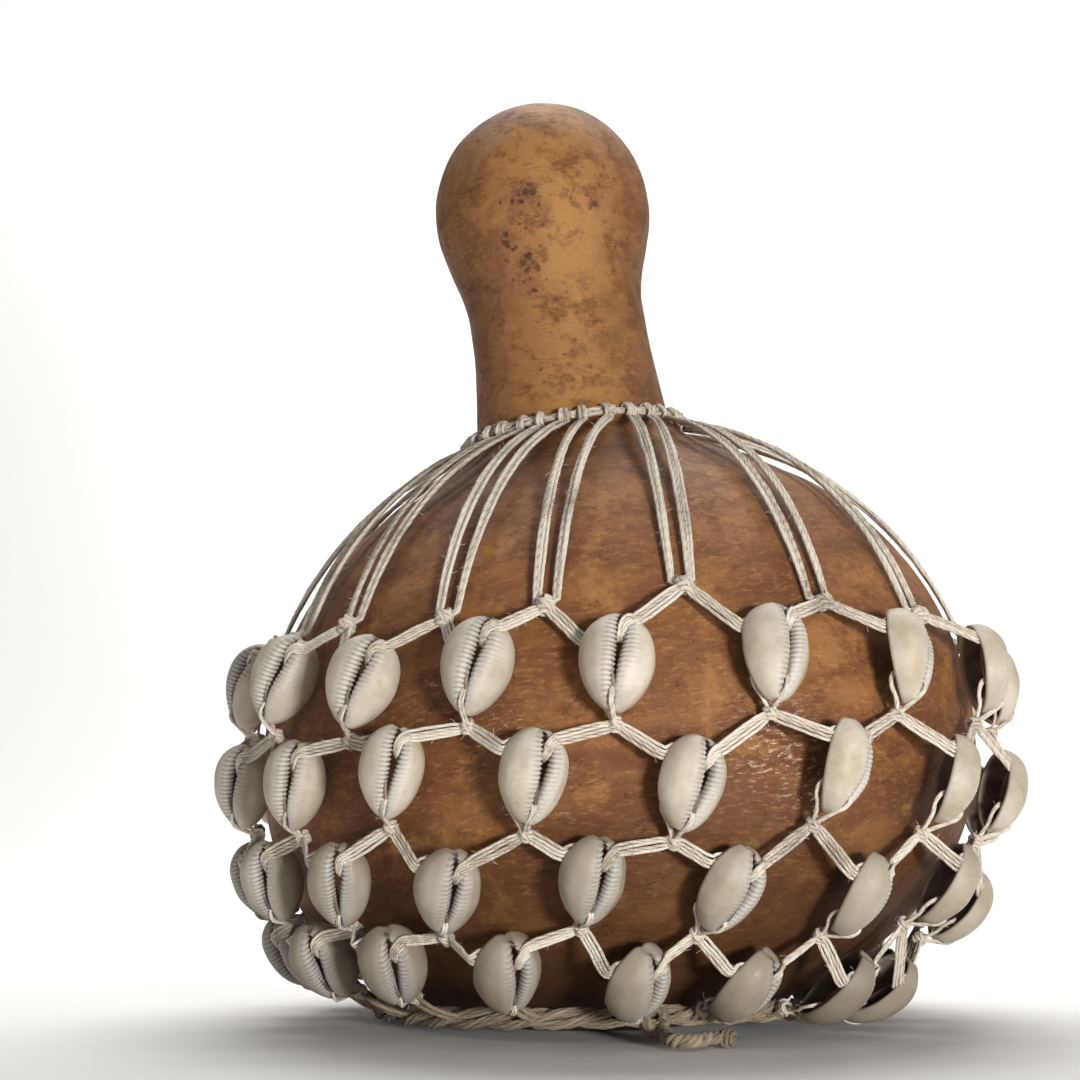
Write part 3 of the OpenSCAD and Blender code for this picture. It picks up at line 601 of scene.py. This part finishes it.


# Dried gourd rind: satin brown in clouds, worn golden patches, short hair cracks round it, pits and pale scuffs, with a
# painted pool of light on the front of the neck and painted shade towards the foot and on the neck's sides
def driedRind():
    material, add = newMaterial("driedGourdRind")
    place = add("ShaderNodeTexCoord").outputs["Object"]
    upright = add("ShaderNodeMapping", {"Vector": place, "Rotation": (0, radians(gourd["lean"]), 0)})
    drawn = add("ShaderNodeMapping", {"Vector": upright, "Scale": (1, 1, 3.2)})
    wires = {name: add("ShaderNodeAttribute", attribute_name=name).outputs["Fac"]
             for name in ("neckTone", "paintedFrontLight", "grime", "pitted", "scuffed")}
    wires["spots"] = add("ShaderNodeTexVoronoi", {"Vector": upright, "Scale": 430.0})
    # noises: where, how many to the metre, detail, roughness, distortion
    for name, at, scale, detail, roughness, distortion in (
            ("cloud", drawn, 22.0, 4.0, 0.6, 0.5), ("patch", upright, 66.0, 9.0, 0.72, 0.6),
            ("mottle", upright, 170.0, 8.0, 0.75, 0.0), ("grain", drawn, 420.0, 5.0, 0.7, 0.0),
            ("flakes", drawn, 520.0, 5.0, 0.75, 0.0), ("line", drawn, 75.0, 4.0, 0.6, 0.0)):
        wires[name] = add("ShaderNodeTexNoise", {
            "Vector": at, "Scale": scale, "Detail": detail, "Roughness": roughness, "Distortion": distortion})
    # where each shows: the noise, the range in which it comes, and how strong it gets
    for name, noise, low, high, most in (
            ("clouded", "cloud", 0.4, 0.6, 1.0), ("worn", "patch", 0.53, 0.66, 0.75),
            ("dull", "patch", 0.48, 0.38, 0.65), ("dusky", "mottle", 0.49, 0.59, 0.7),
            ("shiny", "grain", 0.53, 0.7, 0.45), ("here", "mottle", 0.5, 0.56, 0.55),
            ("flaked", "flakes", 0.55, 0.63, 1.0)):
        wires[name] = add("ShaderNodeMapRange", (wires[noise], low, high, 0, most))
    bite = add("ShaderNodeMath", (wires["mottle"], -1.6, wires["spots"]), operation="MULTIPLY_ADD")
    wires["bite"] = add("ShaderNodeMapRange", (bite, -0.7, -0.58, 1.0, 0.0))
    # hair cracks are thin level lines of a drawn-out noise, only here and there
    for name, operation, *inputs in (
            ("low", "MULTIPLY", "grime", 0.85), ("line", "COMPARE", "line", 0.5, 0.007),
            ("crack", "MULTIPLY", "line", "here"), ("pits", "MULTIPLY", "bite", "pitted"),
            ("stain", "MULTIPLY", "pitted", 0.3), ("scuff", "MULTIPLY", "flaked", "scuffed")):
        wires[name] = add("ShaderNodeMath", [wires.get(value, value) for value in inputs], operation=operation)
    # the neck's mix is painted light: golden where it faces the front, darker brown to the sides
    body, neck = (add("ShaderNodeMix", {0: wires[share], 6: linear(low), 7: linear(high)}, data_type="RGBA")
                  for share, low, high in (("clouded", "#683f26", "#93633b"), ("paintedFrontLight", "#80573a", "#a87842")))
    colour = add("ShaderNodeMix", {0: wires["neckTone"], 6: body, 7: neck}, data_type="RGBA")
    # low: painted shade towards the foot and on the neck's sides, with a few small dark marks
    for share, over in (("worn", "#a97a44"), ("dull", "#6c4429"), ("dusky", "#704829"), ("shiny", "#bb8c56"),
                        ("low", "#3a2414"), ("crack", "#3c2415"), ("stain", "#7a5142"), ("pits", "#482f22"),
                        ("scuff", "#cdb99b")):
        colour = add("ShaderNodeMix", {0: wires[share], 6: colour, 7: linear(over)}, data_type="RGBA")
    rough = add("ShaderNodeMapRange", (wires["mottle"], 0.3, 0.7, 0.46, 0.68))
    height = wires["grain"]
    for name, rise in (("pits", -1.4), ("crack", -1.0), ("mottle", 0.8)):
        height = add("ShaderNodeMath", (wires[name], rise, height), operation="MULTIPLY_ADD")
    bump = add("ShaderNodeBump", {"Height": height, "Strength": 0.5, "Distance": 0.0006})
    endMaterial(add, {"Base Color": colour, "Roughness": rough, "Normal": bump, "IOR": 1.48, "Specular IOR Level": 0.2})
    return material


rindMaterial = driedRind()
shellMaterial = cowrieShell()
# groove colours: painted shade between the plies
newCotton = cottonYarn("cottonYarn", {
    "base": "#c9bca8", "light": "#e6ddce", "grooveShade": "#75654f", "soil": "#665848", "dirt": 0.7, "pitch": 2.6,
    "sheen": 0.15})
oldCotton = cottonYarn("oldCottonYarn", {
    "base": "#85765f", "light": "#a69781", "grooveShade": "#4c3f33", "soil": "#453829", "dirt": 0.8, "pitch": 3.2,
    "sheen": 0.12})
print("materials made")


def finishPiece(piece, body, slot, *nodes):
    if nodes:
        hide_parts(*nodes)
    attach(piece, body)
    print(piece.name, "faces:", len(piece.data.polygons))
    return piece


# The rind: a fine skin turned on the profile, with the slight lumps of a grown thing
rind = {
    "around": 300, "stepLow": 70, "stepBody": 60, "stepNeck": 100, "stepCap": 40,
    "lump": 0.22, "neckLump": 0.7, "lumpsPerMetre": 38.0,
}
rindMarks = {  # turn round the gourd, height over the widest ring, size in millimetres, strength
    "pitted": [(-11, 125, 7, 0.9), (-14, 117, 8, 1), (-21, 106, 9, 1), (-10, 92, 8, 0.9), (7, 90, 6, 0.8),
               (31, 124, 5, 0.8), (-33, 112, 6, 0.5), (150, 110, 9, 0.7), (200, 95, 8, 0.6), (95, 122, 6, 0.5)],
    "scuffed": [(22, -5, 9, 1), (-15, 6, 5, 0.6), (11, -2, 5, 0.4), (26, -14, 6, 0.9), (-24, 14, 5, 0.5),
                (-9, -8, 5, 0.4), (120, 5, 9, 0.7), (200, -10, 8, 0.6)],
    # the four broad dark marks are painted shade on both sides of the neck; the four small ones are dark marks near 35
    # degrees
    "grime": [(62, 95, 12, 0.35), (70, 112, 12, 0.35), (-62, 108, 12, 0.3), (58, 80, 10, 0.35),
              (34, 101, 3.5, 0.45), (36, 93, 3.5, 0.5), (33, 87, 3, 0.4), (38, 112, 4, 0.3)],
}


def makeRind():
    heights = [-gourd["bottomH"] * cos(0.5 * pi * k / rind["stepLow"]) ** (2 / gourd["squareness"])
               for k in range(1, rind["stepLow"])]
    heights += [joinH * k / rind["stepBody"] for k in range(rind["stepBody"])]
    heights += [joinH + (gourd["bulbH"] - joinH) * k / rind["stepNeck"] for k in range(rind["stepNeck"])]
    heights += [gourd["bulbH"] + gourd["capH"] * sin(0.5 * pi * k / rind["stepCap"])
                for k in range(rind["stepCap"])]
    n = rind["around"]
    points, faces = [], []
    for z in heights:
        r = skinR(z)
        points += [(r * sin(2 * pi * k / n), -r * cos(2 * pi * k / n), z) for k in range(n)]
    for j in range(len(heights) - 1):
        faces += [(j * n + k, j * n + (k + 1) % n, (j + 1) * n + (k + 1) % n, (j + 1) * n + k) for k in range(n)]
    points += [(0, 0, -gourd["bottomH"]), (0, 0, gourd["bulbH"] + gourd["capH"])]
    low, high, last = len(points) - 2, len(points) - 1, (len(heights) - 1) * n
    faces += [(low, (k + 1) % n, k) for k in range(n)] + [(high, last + k, last + (k + 1) % n) for k in range(n)]
    mesh = bpy.data.meshes.new("gourdRind")
    mesh.from_pydata([standing(p) for p in points], [], faces)
    place = np.array(points)
    z = place[:, 2]
    neckTone = np.clip((z - 58) / 26, 0, 1)
    front = np.degrees(np.arctan2(place[:, 0], -place[:, 1]))
    # the front tone is painted light on the side of the neck that faces the front, falling off to the sides
    tones = {"neckTone": neckTone * neckTone * (3 - 2 * neckTone),
             "paintedFrontLight": 0.15 + 0.85 * np.exp(-((front - 4) / 38) ** 2),
             "grime": np.clip((-z - 6) / 42, 0, 0.95)}  # painted shade, darker towards the foot
    for label, marks in rindMarks.items():
        total = tones.get(label, np.zeros(len(place)))
        for turn, height, size, strength in marks:
            centre = np.array(overSkin(turn, height, 0))
            total = np.maximum(total, strength * np.exp(-((place - centre) ** 2).sum(1) / size ** 2))
        tones[label] = total
    onNeck = np.clip((z - 82) / 15, 0, 1)
    tones["lumpDepth"] = (rind["lump"] + (rind["neckLump"] - rind["lump"]) * onNeck) / metre
    storeOnPoints(mesh, "FLOAT", **tones)
    mesh.shade_smooth()

    tree, add, given = newTree("grownLumps", {"Lumps per metre": "Float"})
    swell = add("ShaderNodeTexNoise", {"Vector": add("GeometryNodeInputPosition"),
                                       "Scale": given["Lumps per metre"], "Detail": 3.0, "Roughness": 0.45})
    depth = add("GeometryNodeInputNamedAttribute", {"Name": "lumpDepth"}, data_type="FLOAT")
    push = swell
    for operation, other in (("SUBTRACT", 0.62), ("MULTIPLY", depth), ("MULTIPLY", 2.6)):
        push = add("ShaderNodeMath", (push, other), operation=operation)
    push = add("ShaderNodeVectorMath", (push, add("GeometryNodeInputNormal")), operation="MULTIPLY")
    moved = add("GeometryNodeSetPosition", {"Geometry": given["Geometry"], "Offset": push})
    endTree(add, moved, given["Material"])
    values = {"Lumps per metre": rind["lumpsPerMetre"], "Material": rindMaterial}
    piece = runTree("gourdRind", mesh, tree, values)
    for vertex in piece.data.vertices:
        vertex.co.z = max(vertex.co.z, 0)  # its flat base
    finishPiece(piece, "gourd", "gourd", "gourd")


makeRind()

# Pieces that are set on points, each with its turn, size, kind of template and tone
placeTemplates = placeTree()


def placeCopies(name, kinds, material, places, turned, sizes, picked, shades):
    mesh = bpy.data.meshes.new(name)
    mesh.from_pydata(places, [], [])
    storeOnPoints(mesh, "FLOAT_VECTOR", turned=[c for t in turned for c in t], size=[c for t in sizes for c in t])
    storeOnPoints(mesh, "INT", kind=picked)
    storeOnPoints(mesh, "FLOAT", shade=shades)
    box = bpy.data.collections.new("templates")
    bpy.context.scene.collection.children.link(box)
    for k, kind in enumerate(kinds):
        box.objects.link(bpy.data.objects.new(f"template{k}", kind))
    piece = runTree(name, mesh, placeTemplates, {"Templates": box, "Material": material})
    for thing in list(box.objects):
        bpy.data.objects.remove(thing)
    bpy.data.collections.remove(box)
    return piece


def turnOfAxes(x, y, z):
    return (leanTurn @ Matrix((x, y, z)).transposed()).to_euler("XYZ")


def makeShells():
    kinds = [cowrieMesh(f"cowrieKind{k}", 11 + k) for k in range(cowrie["variants"])]
    rng = np.random.default_rng(5)
    for row, (frames, share, breadth, grime) in enumerate(
            zip(shellFrames, shellShare, cowrie["breadth"], cowrie["grime"])):
        sizes = [[share * breadth * rng.uniform(0.97, 1.03), share * rng.uniform(0.98, 1.01), share] for _ in frames]
        picked = [int(v) for v in rng.integers(0, cowrie["variants"], columns)]
        # random dust, plus painted shade for each row, darker towards the bottom
        shades = rng.uniform(0, 0.35, columns) + grime
        piece = placeCopies(f"cowrieRow{row + 1}", kinds, shellMaterial, [standing(f[0]) for f in frames],
                            [turnOfAxes(*f[1:]) for f in frames], sizes, picked, shades)
        finishPiece(piece, f"cowrie_row_{row + 1}", "shell", *(f"cowries_{row + 1}_{k}" for k in range(1, 10)))


makeShells()

# Yarn: guides are lines that know, at every point, the way out of the gourd, the yarns' spread and their turn
layYarns = yarnTree()
yarnInputs = ("Yarns", "Spacing", "Yarn radius", "Roundness", "Looseness")  # lengths in millimetres
yarns = {
    "collar": (4, 0.95, 0.44, 0.8, 0.05), "strands": (4, 0.86, 0.4, 0.4, 0.14), "arms": (4, 0.8, 0.34, 0.1, 0.13),
    "loops": (2, 0.62, 0.34, 0.2, 0.06), "links": (6, 0.85, 0.45, 0.5, 0.14), "ring": (5, 1.0, 0.42, 1.0, 0.12),
    "bow": (3, 1.2, 0.72, 1.0, 0.1), "knot": (1, 0, 0.44, 0, 0),
}


# A smooth route through given points
def smoothRoute(route, steps):
    route = [Vector(p) for p in route]
    n, made = len(route), []
    for i in range(n - 1):
        p, q, r, s = route[max(0, i - 1)], route[i], route[i + 1], route[min(n - 1, i + 2)]
        for k in range(steps):
            t = k / steps
            made.append(0.5 * (2 * q + (r - p) * t + (2 * p - 5 * q + 4 * r - s) * t * t
                               + (3 * q - p - 3 * r + s) * t ** 3))
    return made + [route[-1]]


# Lifts what would lie in the rind
def offRind(route, least):
    made = []
    for p in route:
        short = least - heightOf(p)
        made.append(p + short * outward(turnOf(p), p.z) if short > 0 else p)
    return made


# The part's own bent cord: from a to b, passing at the height of m
def cordArc(a, m, b, out, steps):
    u = (b - a).normalized()
    w = (out - out.dot(u) * u).normalized()
    half = (b - a).length / 2
    rise = min(half / 2, max(0.05, (m - (a + b) / 2).dot(w)))
    bend = (half * half + rise * rise) / (2 * rise)
    sweep = 2 * atan(rise / half)
    centre = (a + b) / 2 + (rise - bend) * w
    return [centre + bend * (cos(t) * w + sin(t) * u)
            for t in (sweep * (2 * k / steps - 1) for k in range(steps + 1))]


def newGuides():
    return {"points": [], "edges": [], "away": [], "spread": [], "lay": []}


# A route in the gourd's frame, or in the world with its own way out
def addGuide(guides, route, spread=None, twist=0.0, start=0.0, closed=False, away=None):
    first, n = len(guides["points"]), len(route)
    for k, p in enumerate(route):
        guides["points"].append(Vector(p) / metre if away else standing(p))
        guides["away"] += list(away[k] if away else leanTurn @ outward(turnOf(p), p[2]))
        guides["spread"].append(1.0 if spread is None else spread[k])
        guides["lay"].append(start + twist * 2 * pi * k / (n if closed else n - 1))
    guides["edges"] += [(first + k, first + k + 1) for k in range(n - 1)]
    if closed:
        guides["edges"].append((first + n - 1, first))


def spunPiece(name, guides, kind, material, sides=6, seed=1):
    mesh = bpy.data.meshes.new(name)
    mesh.from_pydata(guides["points"], guides["edges"], [])
    storeOnPoints(mesh, "FLOAT_VECTOR", away=guides["away"])
    storeOnPoints(mesh, "FLOAT", spread=guides["spread"], lay=guides["lay"])
    values = dict(zip(yarnInputs, yarns[kind]))
    for length in ("Spacing", "Yarn radius", "Looseness"):
        values[length] /= metre
    return runTree(name, mesh, layYarns, {**values, "Sides": sides, "Seed": seed, "Material": material})


def makeCollar():
    guides, steps = newGuides(), 150
    ring = [(net["collarR"] * x, net["collarR"] * y, net["collarH"])
            for x, y in (aim(360 * k / steps) for k in range(steps))]
    addGuide(guides, ring, closed=True, twist=9)
    finishPiece(spunPiece("collarCord", guides, "collar", newCotton), "collar", "cord", "collar")


# Where a strand lies on its way over the collar, at an angle round the collar's cord
def hookPoint(turn, angle):
    reach = net["hitchR"] - max(0, min(1, (angle + 30) / 60)) * net["hookDraw"]
    r, (x, y) = net["collarR"] + reach * cos(radians(angle)), aim(turn)
    return Vector((r * x, r * y, net["collarH"] + reach * sin(radians(angle))))


def makeStrands():
    guides, steps = newGuides(), 26
    for i in range(columns):
        for side in (-1, 1):
            turn = hitchTurns[i] + side * net["pairSpread"]
            hook = [hookPoint(turn, angle) for angle in (128, 105, 80, 55, 30, 5, -22)]
            top = hookPoint(turn, net["hitchLow"])
            endZ = knotZ(0, i) + net["strandEndRise"]
            end = overSkin(knotTurns[0][i] + side * net["pairClosing"], endZ, hang(endZ) + net["strandR"])
            plan = (top.xy + end.xy) / 2
            over = degrees(atan2(plan.x, -plan.y))
            z = gourd["shoulderH"] * sqrt(1 - (plan.length / gourd["bodyR"]) ** 2)
            middle = overSkin(over, z, net["strandLift"] + net["strandR"])
            route = hook + cordArc(top, middle, end, outward(over, z), steps) + [knotPlace(0, i)]
            spread = [0.5 + 0.06 * k for k in range(len(hook))]
            spread += [1 - 0.4 * (k / steps) ** 6 for k in range(steps + 1)] + [0.3]
            addGuide(guides, route, spread, twist=0.7 * side, start=i * 1.7 + side)
    piece = spunPiece("netStrands", guides, "strands", newCotton, seed=2)
    return finishPiece(piece, "net", "cord", "hitches", "strands")


# On a shell, across it, along it and up: first what lies over its face, then what lies over its cut
shellPaths = {
    "leftArm": ((), ((-6.1, 4.7, -0.7), (-4.0, 5.6, -0.2), (-1.6, 6.6, 1.8), (-0.2, 7.3, 3.3))),
    "rightArm": (((3.5, 7.6, 0.55), (2.0, 7.3, 0.35), (1.1, 6.2, -0.5), (0.7, 4.4, -1.7), (0.5, 3.4, -3.0)), ()),
    "frontLoop": (((-0.55, -4.6, -2.0), (-0.7, -6.2, -0.1), (-0.85, -7.8, 0.3)), ((-0.6, -9.0, 2.6),)),
    "backLoop": (((-0.55, -4.6, -2.0),),
                 ((-2.2, -3.4, 1.2), (-3.9, -4.4, -0.6), (-3.1, -6.2, -1.2), (-1.4, -8.4, -0.9))),
}


def shellPath(name, row, i):
    overFace, overCut = shellPaths[name]
    return [onCowrie(row, i, p) for p in [(x, y, float(shellTop(x, y)) + up) for x, y, up in overFace] + list(overCut)]


def makeArms():
    guides = newGuides()
    for row in range(4):
        for i in range(columns):
            for name, knot, lead, steps, least, fade, start in (
                    ("leftArm", knotPlace(row, i), 0.5, 5, 0.35, 12, i),
                    ("rightArm", knotPlace(row, i + 1), 0.55, 4, 0.3, 26, i * 2)):
                path = shellPath(name, row, i)
                route = offRind(smoothRoute([knot, knot.lerp(path[0], lead), *path], steps), 0.75)
                last = len(route) - 1
                spread = [min(1, 0.45 + k / 4, least + (last - k) / fade) for k in range(last + 1)]
                addGuide(guides, route, spread, start=start)
    piece = spunPiece("netArms", guides, "arms", newCotton, seed=3)
    return finishPiece(piece, "net", "cord", *(f"arms_{row}" for row in range(1, 5)))


def makeLoops():
    guides = newGuides()
    for row in range(4):
        for i in range(columns):
            front, back = (smoothRoute([*shellPath(name, row, i), knotPlace(row + 1, i)], 4)
                           for name in ("frontLoop", "backLoop"))
            for route in (front, offRind(back, 0.6)):
                addGuide(guides, route, [0.8] * len(route), start=i)
    piece = spunPiece("shellLoops", guides, "loops", newCotton, seed=4)
    return finishPiece(piece, "net", "cord", *(f"lashings_{row}" for row in range(1, 5)))


# Knots: yarn wound round itself, with one turn laid across
knotForm = {"turns": 3.1, "coilR": 1.12, "pitch": 0.82, "crossR": 1.28, "coilSteps": 13, "crossSteps": 15}


def knotMesh(material, seed):
    guides = newGuides()
    steps = knotForm["coilSteps"]
    n = int(knotForm["turns"] * steps)
    route, away = [], []
    for k in range(n + 1):
        a = 2 * pi * k / steps + seed
        rise = (k / n - 0.5) * knotForm["pitch"] * knotForm["turns"]
        r = knotForm["coilR"] * (1 - 0.32 * abs(2 * k / n - 1) ** 3)
        route.append((r * cos(a), rise, r * sin(a)))
        away.append((cos(a), 0, sin(a)))
    addGuide(guides, route, [0.0] * len(route), away=away)
    steps, slant = knotForm["crossSteps"], Matrix.Rotation(radians(38 + 12 * seed), 3, "Z")
    route = [slant @ Vector((0, knotForm["crossR"] * cos(a), knotForm["crossR"] * sin(a)))
             for a in (2 * pi * k / steps for k in range(steps))]
    addGuide(guides, route, [0.0] * len(route), away=[p.normalized() for p in route], closed=True)
    thing = spunPiece("knot", guides, "knot", material)
    mesh = thing.data
    bpy.data.objects.remove(thing)
    return mesh


# Across, up the skin and out of it
def knotFrame(p):
    z = outward(turnOf(p), p.z)
    y = (Vector((0, 0, 1)) - z.z * z).normalized()
    return turnOfAxes(y.cross(z), y, z)


def makeKnots(name, slot, places, sizes, material, nodes):
    n = len(places)
    piece = placeCopies(name, [knotMesh(material, k) for k in range(2)], material, [standing(p) for p in places],
                        [knotFrame(p) for p in places], sizes, [k % 2 for k in range(n)], [0.5] * n)
    return finishPiece(piece, "net", slot, *nodes)


def ringCentre(turn):
    z = level(net["ringShare"] - net["ringTilt"] * aim(turn)[0], turn)
    return overSkin(turn, z, hang(z) + net["plyTurnR"] + net["plyR"])


# The cords to the drawstring and its plies; gives back the place of the knot that gathers it
def makeOldCords():
    guides = newGuides()
    for i in range(columns):
        turn = knotTurns[4][i]
        a = knotPlace(4, i)
        b = ringCentre(turn - net["linkLead"] * aim(turn)[0])
        mid = (a + b) / 2
        out = outward(turnOf(mid), mid.z)
        addGuide(guides, offRind(cordArc(a, mid + out, b, out, 8), 1.0), twist=0.4, start=i)
    finishPiece(spunPiece("footLinks", guides, "links", oldCotton, seed=5), "net", "old_cord", "foot_links")
    guides, n = newGuides(), 200
    for ply in range(net["plies"]):
        route = []
        for k in range(n):
            turn = 360 * k / n
            centre = ringCentre(turn)
            out = outward(turn, centre.z)
            ahead = (ringCentre(turn + 1) - ringCentre(turn - 1)).normalized()
            lay = 2 * pi * (net["ringTwists"] * k / n + ply / net["plies"])
            route.append(centre + net["plyTurnR"] * (cos(lay) * out + sin(lay) * out.cross(ahead)))
        addGuide(guides, route, closed=True, twist=20)
    finishPiece(spunPiece("drawstringRing", guides, "ring", oldCotton, seed=6), "net", "old_cord", "drawstring")
    z = level(net["ringShare"], 0)
    return overSkin(0, z, hang(z) + net["gatherR"])


# The loose end lies on the ground, in the world's millimetres
bowRoute = [[8.8, -55, 2.8], [9.1, -57.5, 2.3], [9.3, -60, 2.1], [9.7, -62.6, 2], [10.5, -64.4, 2], [12, -65.3, 2],
            [13.7, -65.1, 2], [14.9, -63.9, 2], [15.7, -62, 2], [16.8, -60.1, 2], [18.6, -59, 2], [20.8, -59, 2]]


def joinMeshes(name, things):
    bpy.ops.object.select_all(action="DESELECT")
    for thing in things:
        thing.select_set(True)
    bpy.context.view_layer.objects.active = things[0]
    bpy.ops.object.join()
    things[0].name = name
    return things[0]


def makeBow():
    guides = newGuides()
    route = smoothRoute(bowRoute, 5)
    addGuide(guides, route, twist=5, away=[(0, 0, 1)] * len(route))
    rope = spunPiece("bowRope", guides, "bow", oldCotton, sides=8, seed=7)
    knot = placeCopies("bowKnot", [knotMesh(oldCotton, 1)], oldCotton, [Vector(bowRoute[-1]) / metre],
                       [(0, 0, 1.2)], [(1.15, 1.15, 1.15)], [0], [0.5])
    finishPiece(joinMeshes("bowCord", [rope, knot]), "bow", "old_cord", "bow")


makeCollar()
newYarns = [makeStrands(), makeArms(), makeLoops()]
knotPlaces = [knotPlace(row, i) for row in range(5) for i in range(columns)] + [hookPoint(19.8, -10)]
knotSizes = [(1.25, 1.25, 1.25)] * columns + [(1, 1, 1)] * (4 * columns) + [(0.8, 0.8, 0.8)]
newYarns.append(makeKnots("netKnots", "cord", knotPlaces, knotSizes, newCotton, [f"knots_{k}" for k in range(1, 6)]))
makeKnots("gatherKnot", "old_cord", [makeOldCords()], [(2.0, 1.9, 1.9)], oldCotton, ["gather_knot"])
makeBow()

fibres = {"Density": 1.15e5, "Fibre radius": 0.00005, "Seed": 3}  # how many to the square metre, and metres


def makeFibres():
    twin = joinMeshes("yarnCopies", [newObject("yarnCopy", piece.data.copy()) for piece in newYarns])
    mesh = twin.data
    bpy.data.objects.remove(twin)
    finishPiece(runTree("looseFibres", mesh, fibreTree(), {**fibres, "Material": newCotton}), "net", "cord")


makeFibres()

# Studio: a pale floor that runs up behind, and soft lights
studio = {"floorReach": 9.0, "backAt": 1.2, "bend": 0.5, "bendSteps": 12, "height": 2.2, "tone": "#f4f3f1", "air": 0.14}


def makeStudio():
    profile = [(-studio["floorReach"], 0.0), (studio["backAt"], 0.0)]
    for k in range(1, studio["bendSteps"] + 1):
        a = pi / 2 * k / studio["bendSteps"]
        profile.append((studio["backAt"] + studio["bend"] * sin(a), studio["bend"] * (1 - cos(a))))
    profile.append((studio["backAt"] + studio["bend"], studio["height"]))
    points = [(x, y, z) for y, z in profile for x in (-studio["floorReach"], studio["floorReach"])]
    mesh = bpy.data.meshes.new("studioFloor")
    mesh.from_pydata(points, [], [(2 * k, 2 * k + 1, 2 * k + 3, 2 * k + 2) for k in range(len(profile) - 1)])
    mesh.shade_smooth()
    # Matte paper: no shine of the lamps, so that the ground fades softly into the white behind
    material, add = newMaterial("matteBackdropPaper")
    endMaterial(add, {"Base Color": linear(studio["tone"]), "Roughness": 0.95})
    mesh.materials.append(material)
    newObject("studioFloor", mesh)
    world = bpy.data.worlds.new("studioAir")
    bpy.context.scene.world = world
    world.use_nodes = True
    air = world.node_tree.nodes["Background"].inputs
    air["Color"].default_value, air["Strength"].default_value = (1, 1, 1, 1), studio["air"]
    bpy.context.scene.view_settings.view_transform = "Standard"  # a photo's plain contrast, with a white backdrop


def addLight(name, place, aimAt, size, watts):
    lamp = bpy.data.lights.new(name, "AREA")
    lamp.shape = "RECTANGLE"
    lamp.size, lamp.size_y, lamp.energy = *size, watts
    thing = newObject(name, lamp)
    thing.location = place
    thing.rotation_euler = (Vector(aimAt) - Vector(place)).to_track_quat("-Z", "Y").to_euler()


makeStudio()
addLight("softboxRight", (0.28, -0.66, 0.048), (0, 0, 0.10), (0.12, 0.08), 4.3)
addLight("softboxLeft", (-0.7, -0.4, 0.35), (0, 0, 0.09), (0.5, 0.5), 0.25)
addLight("softboxTop", (0.0, 0.35, 0.95), (0, 0.1, 0), (0.8, 0.6), 6)
addLight("backdropLamp", (0.0, 0.55, 1.3), (0, 1.65, 0.35), (1.6, 0.4), 22)
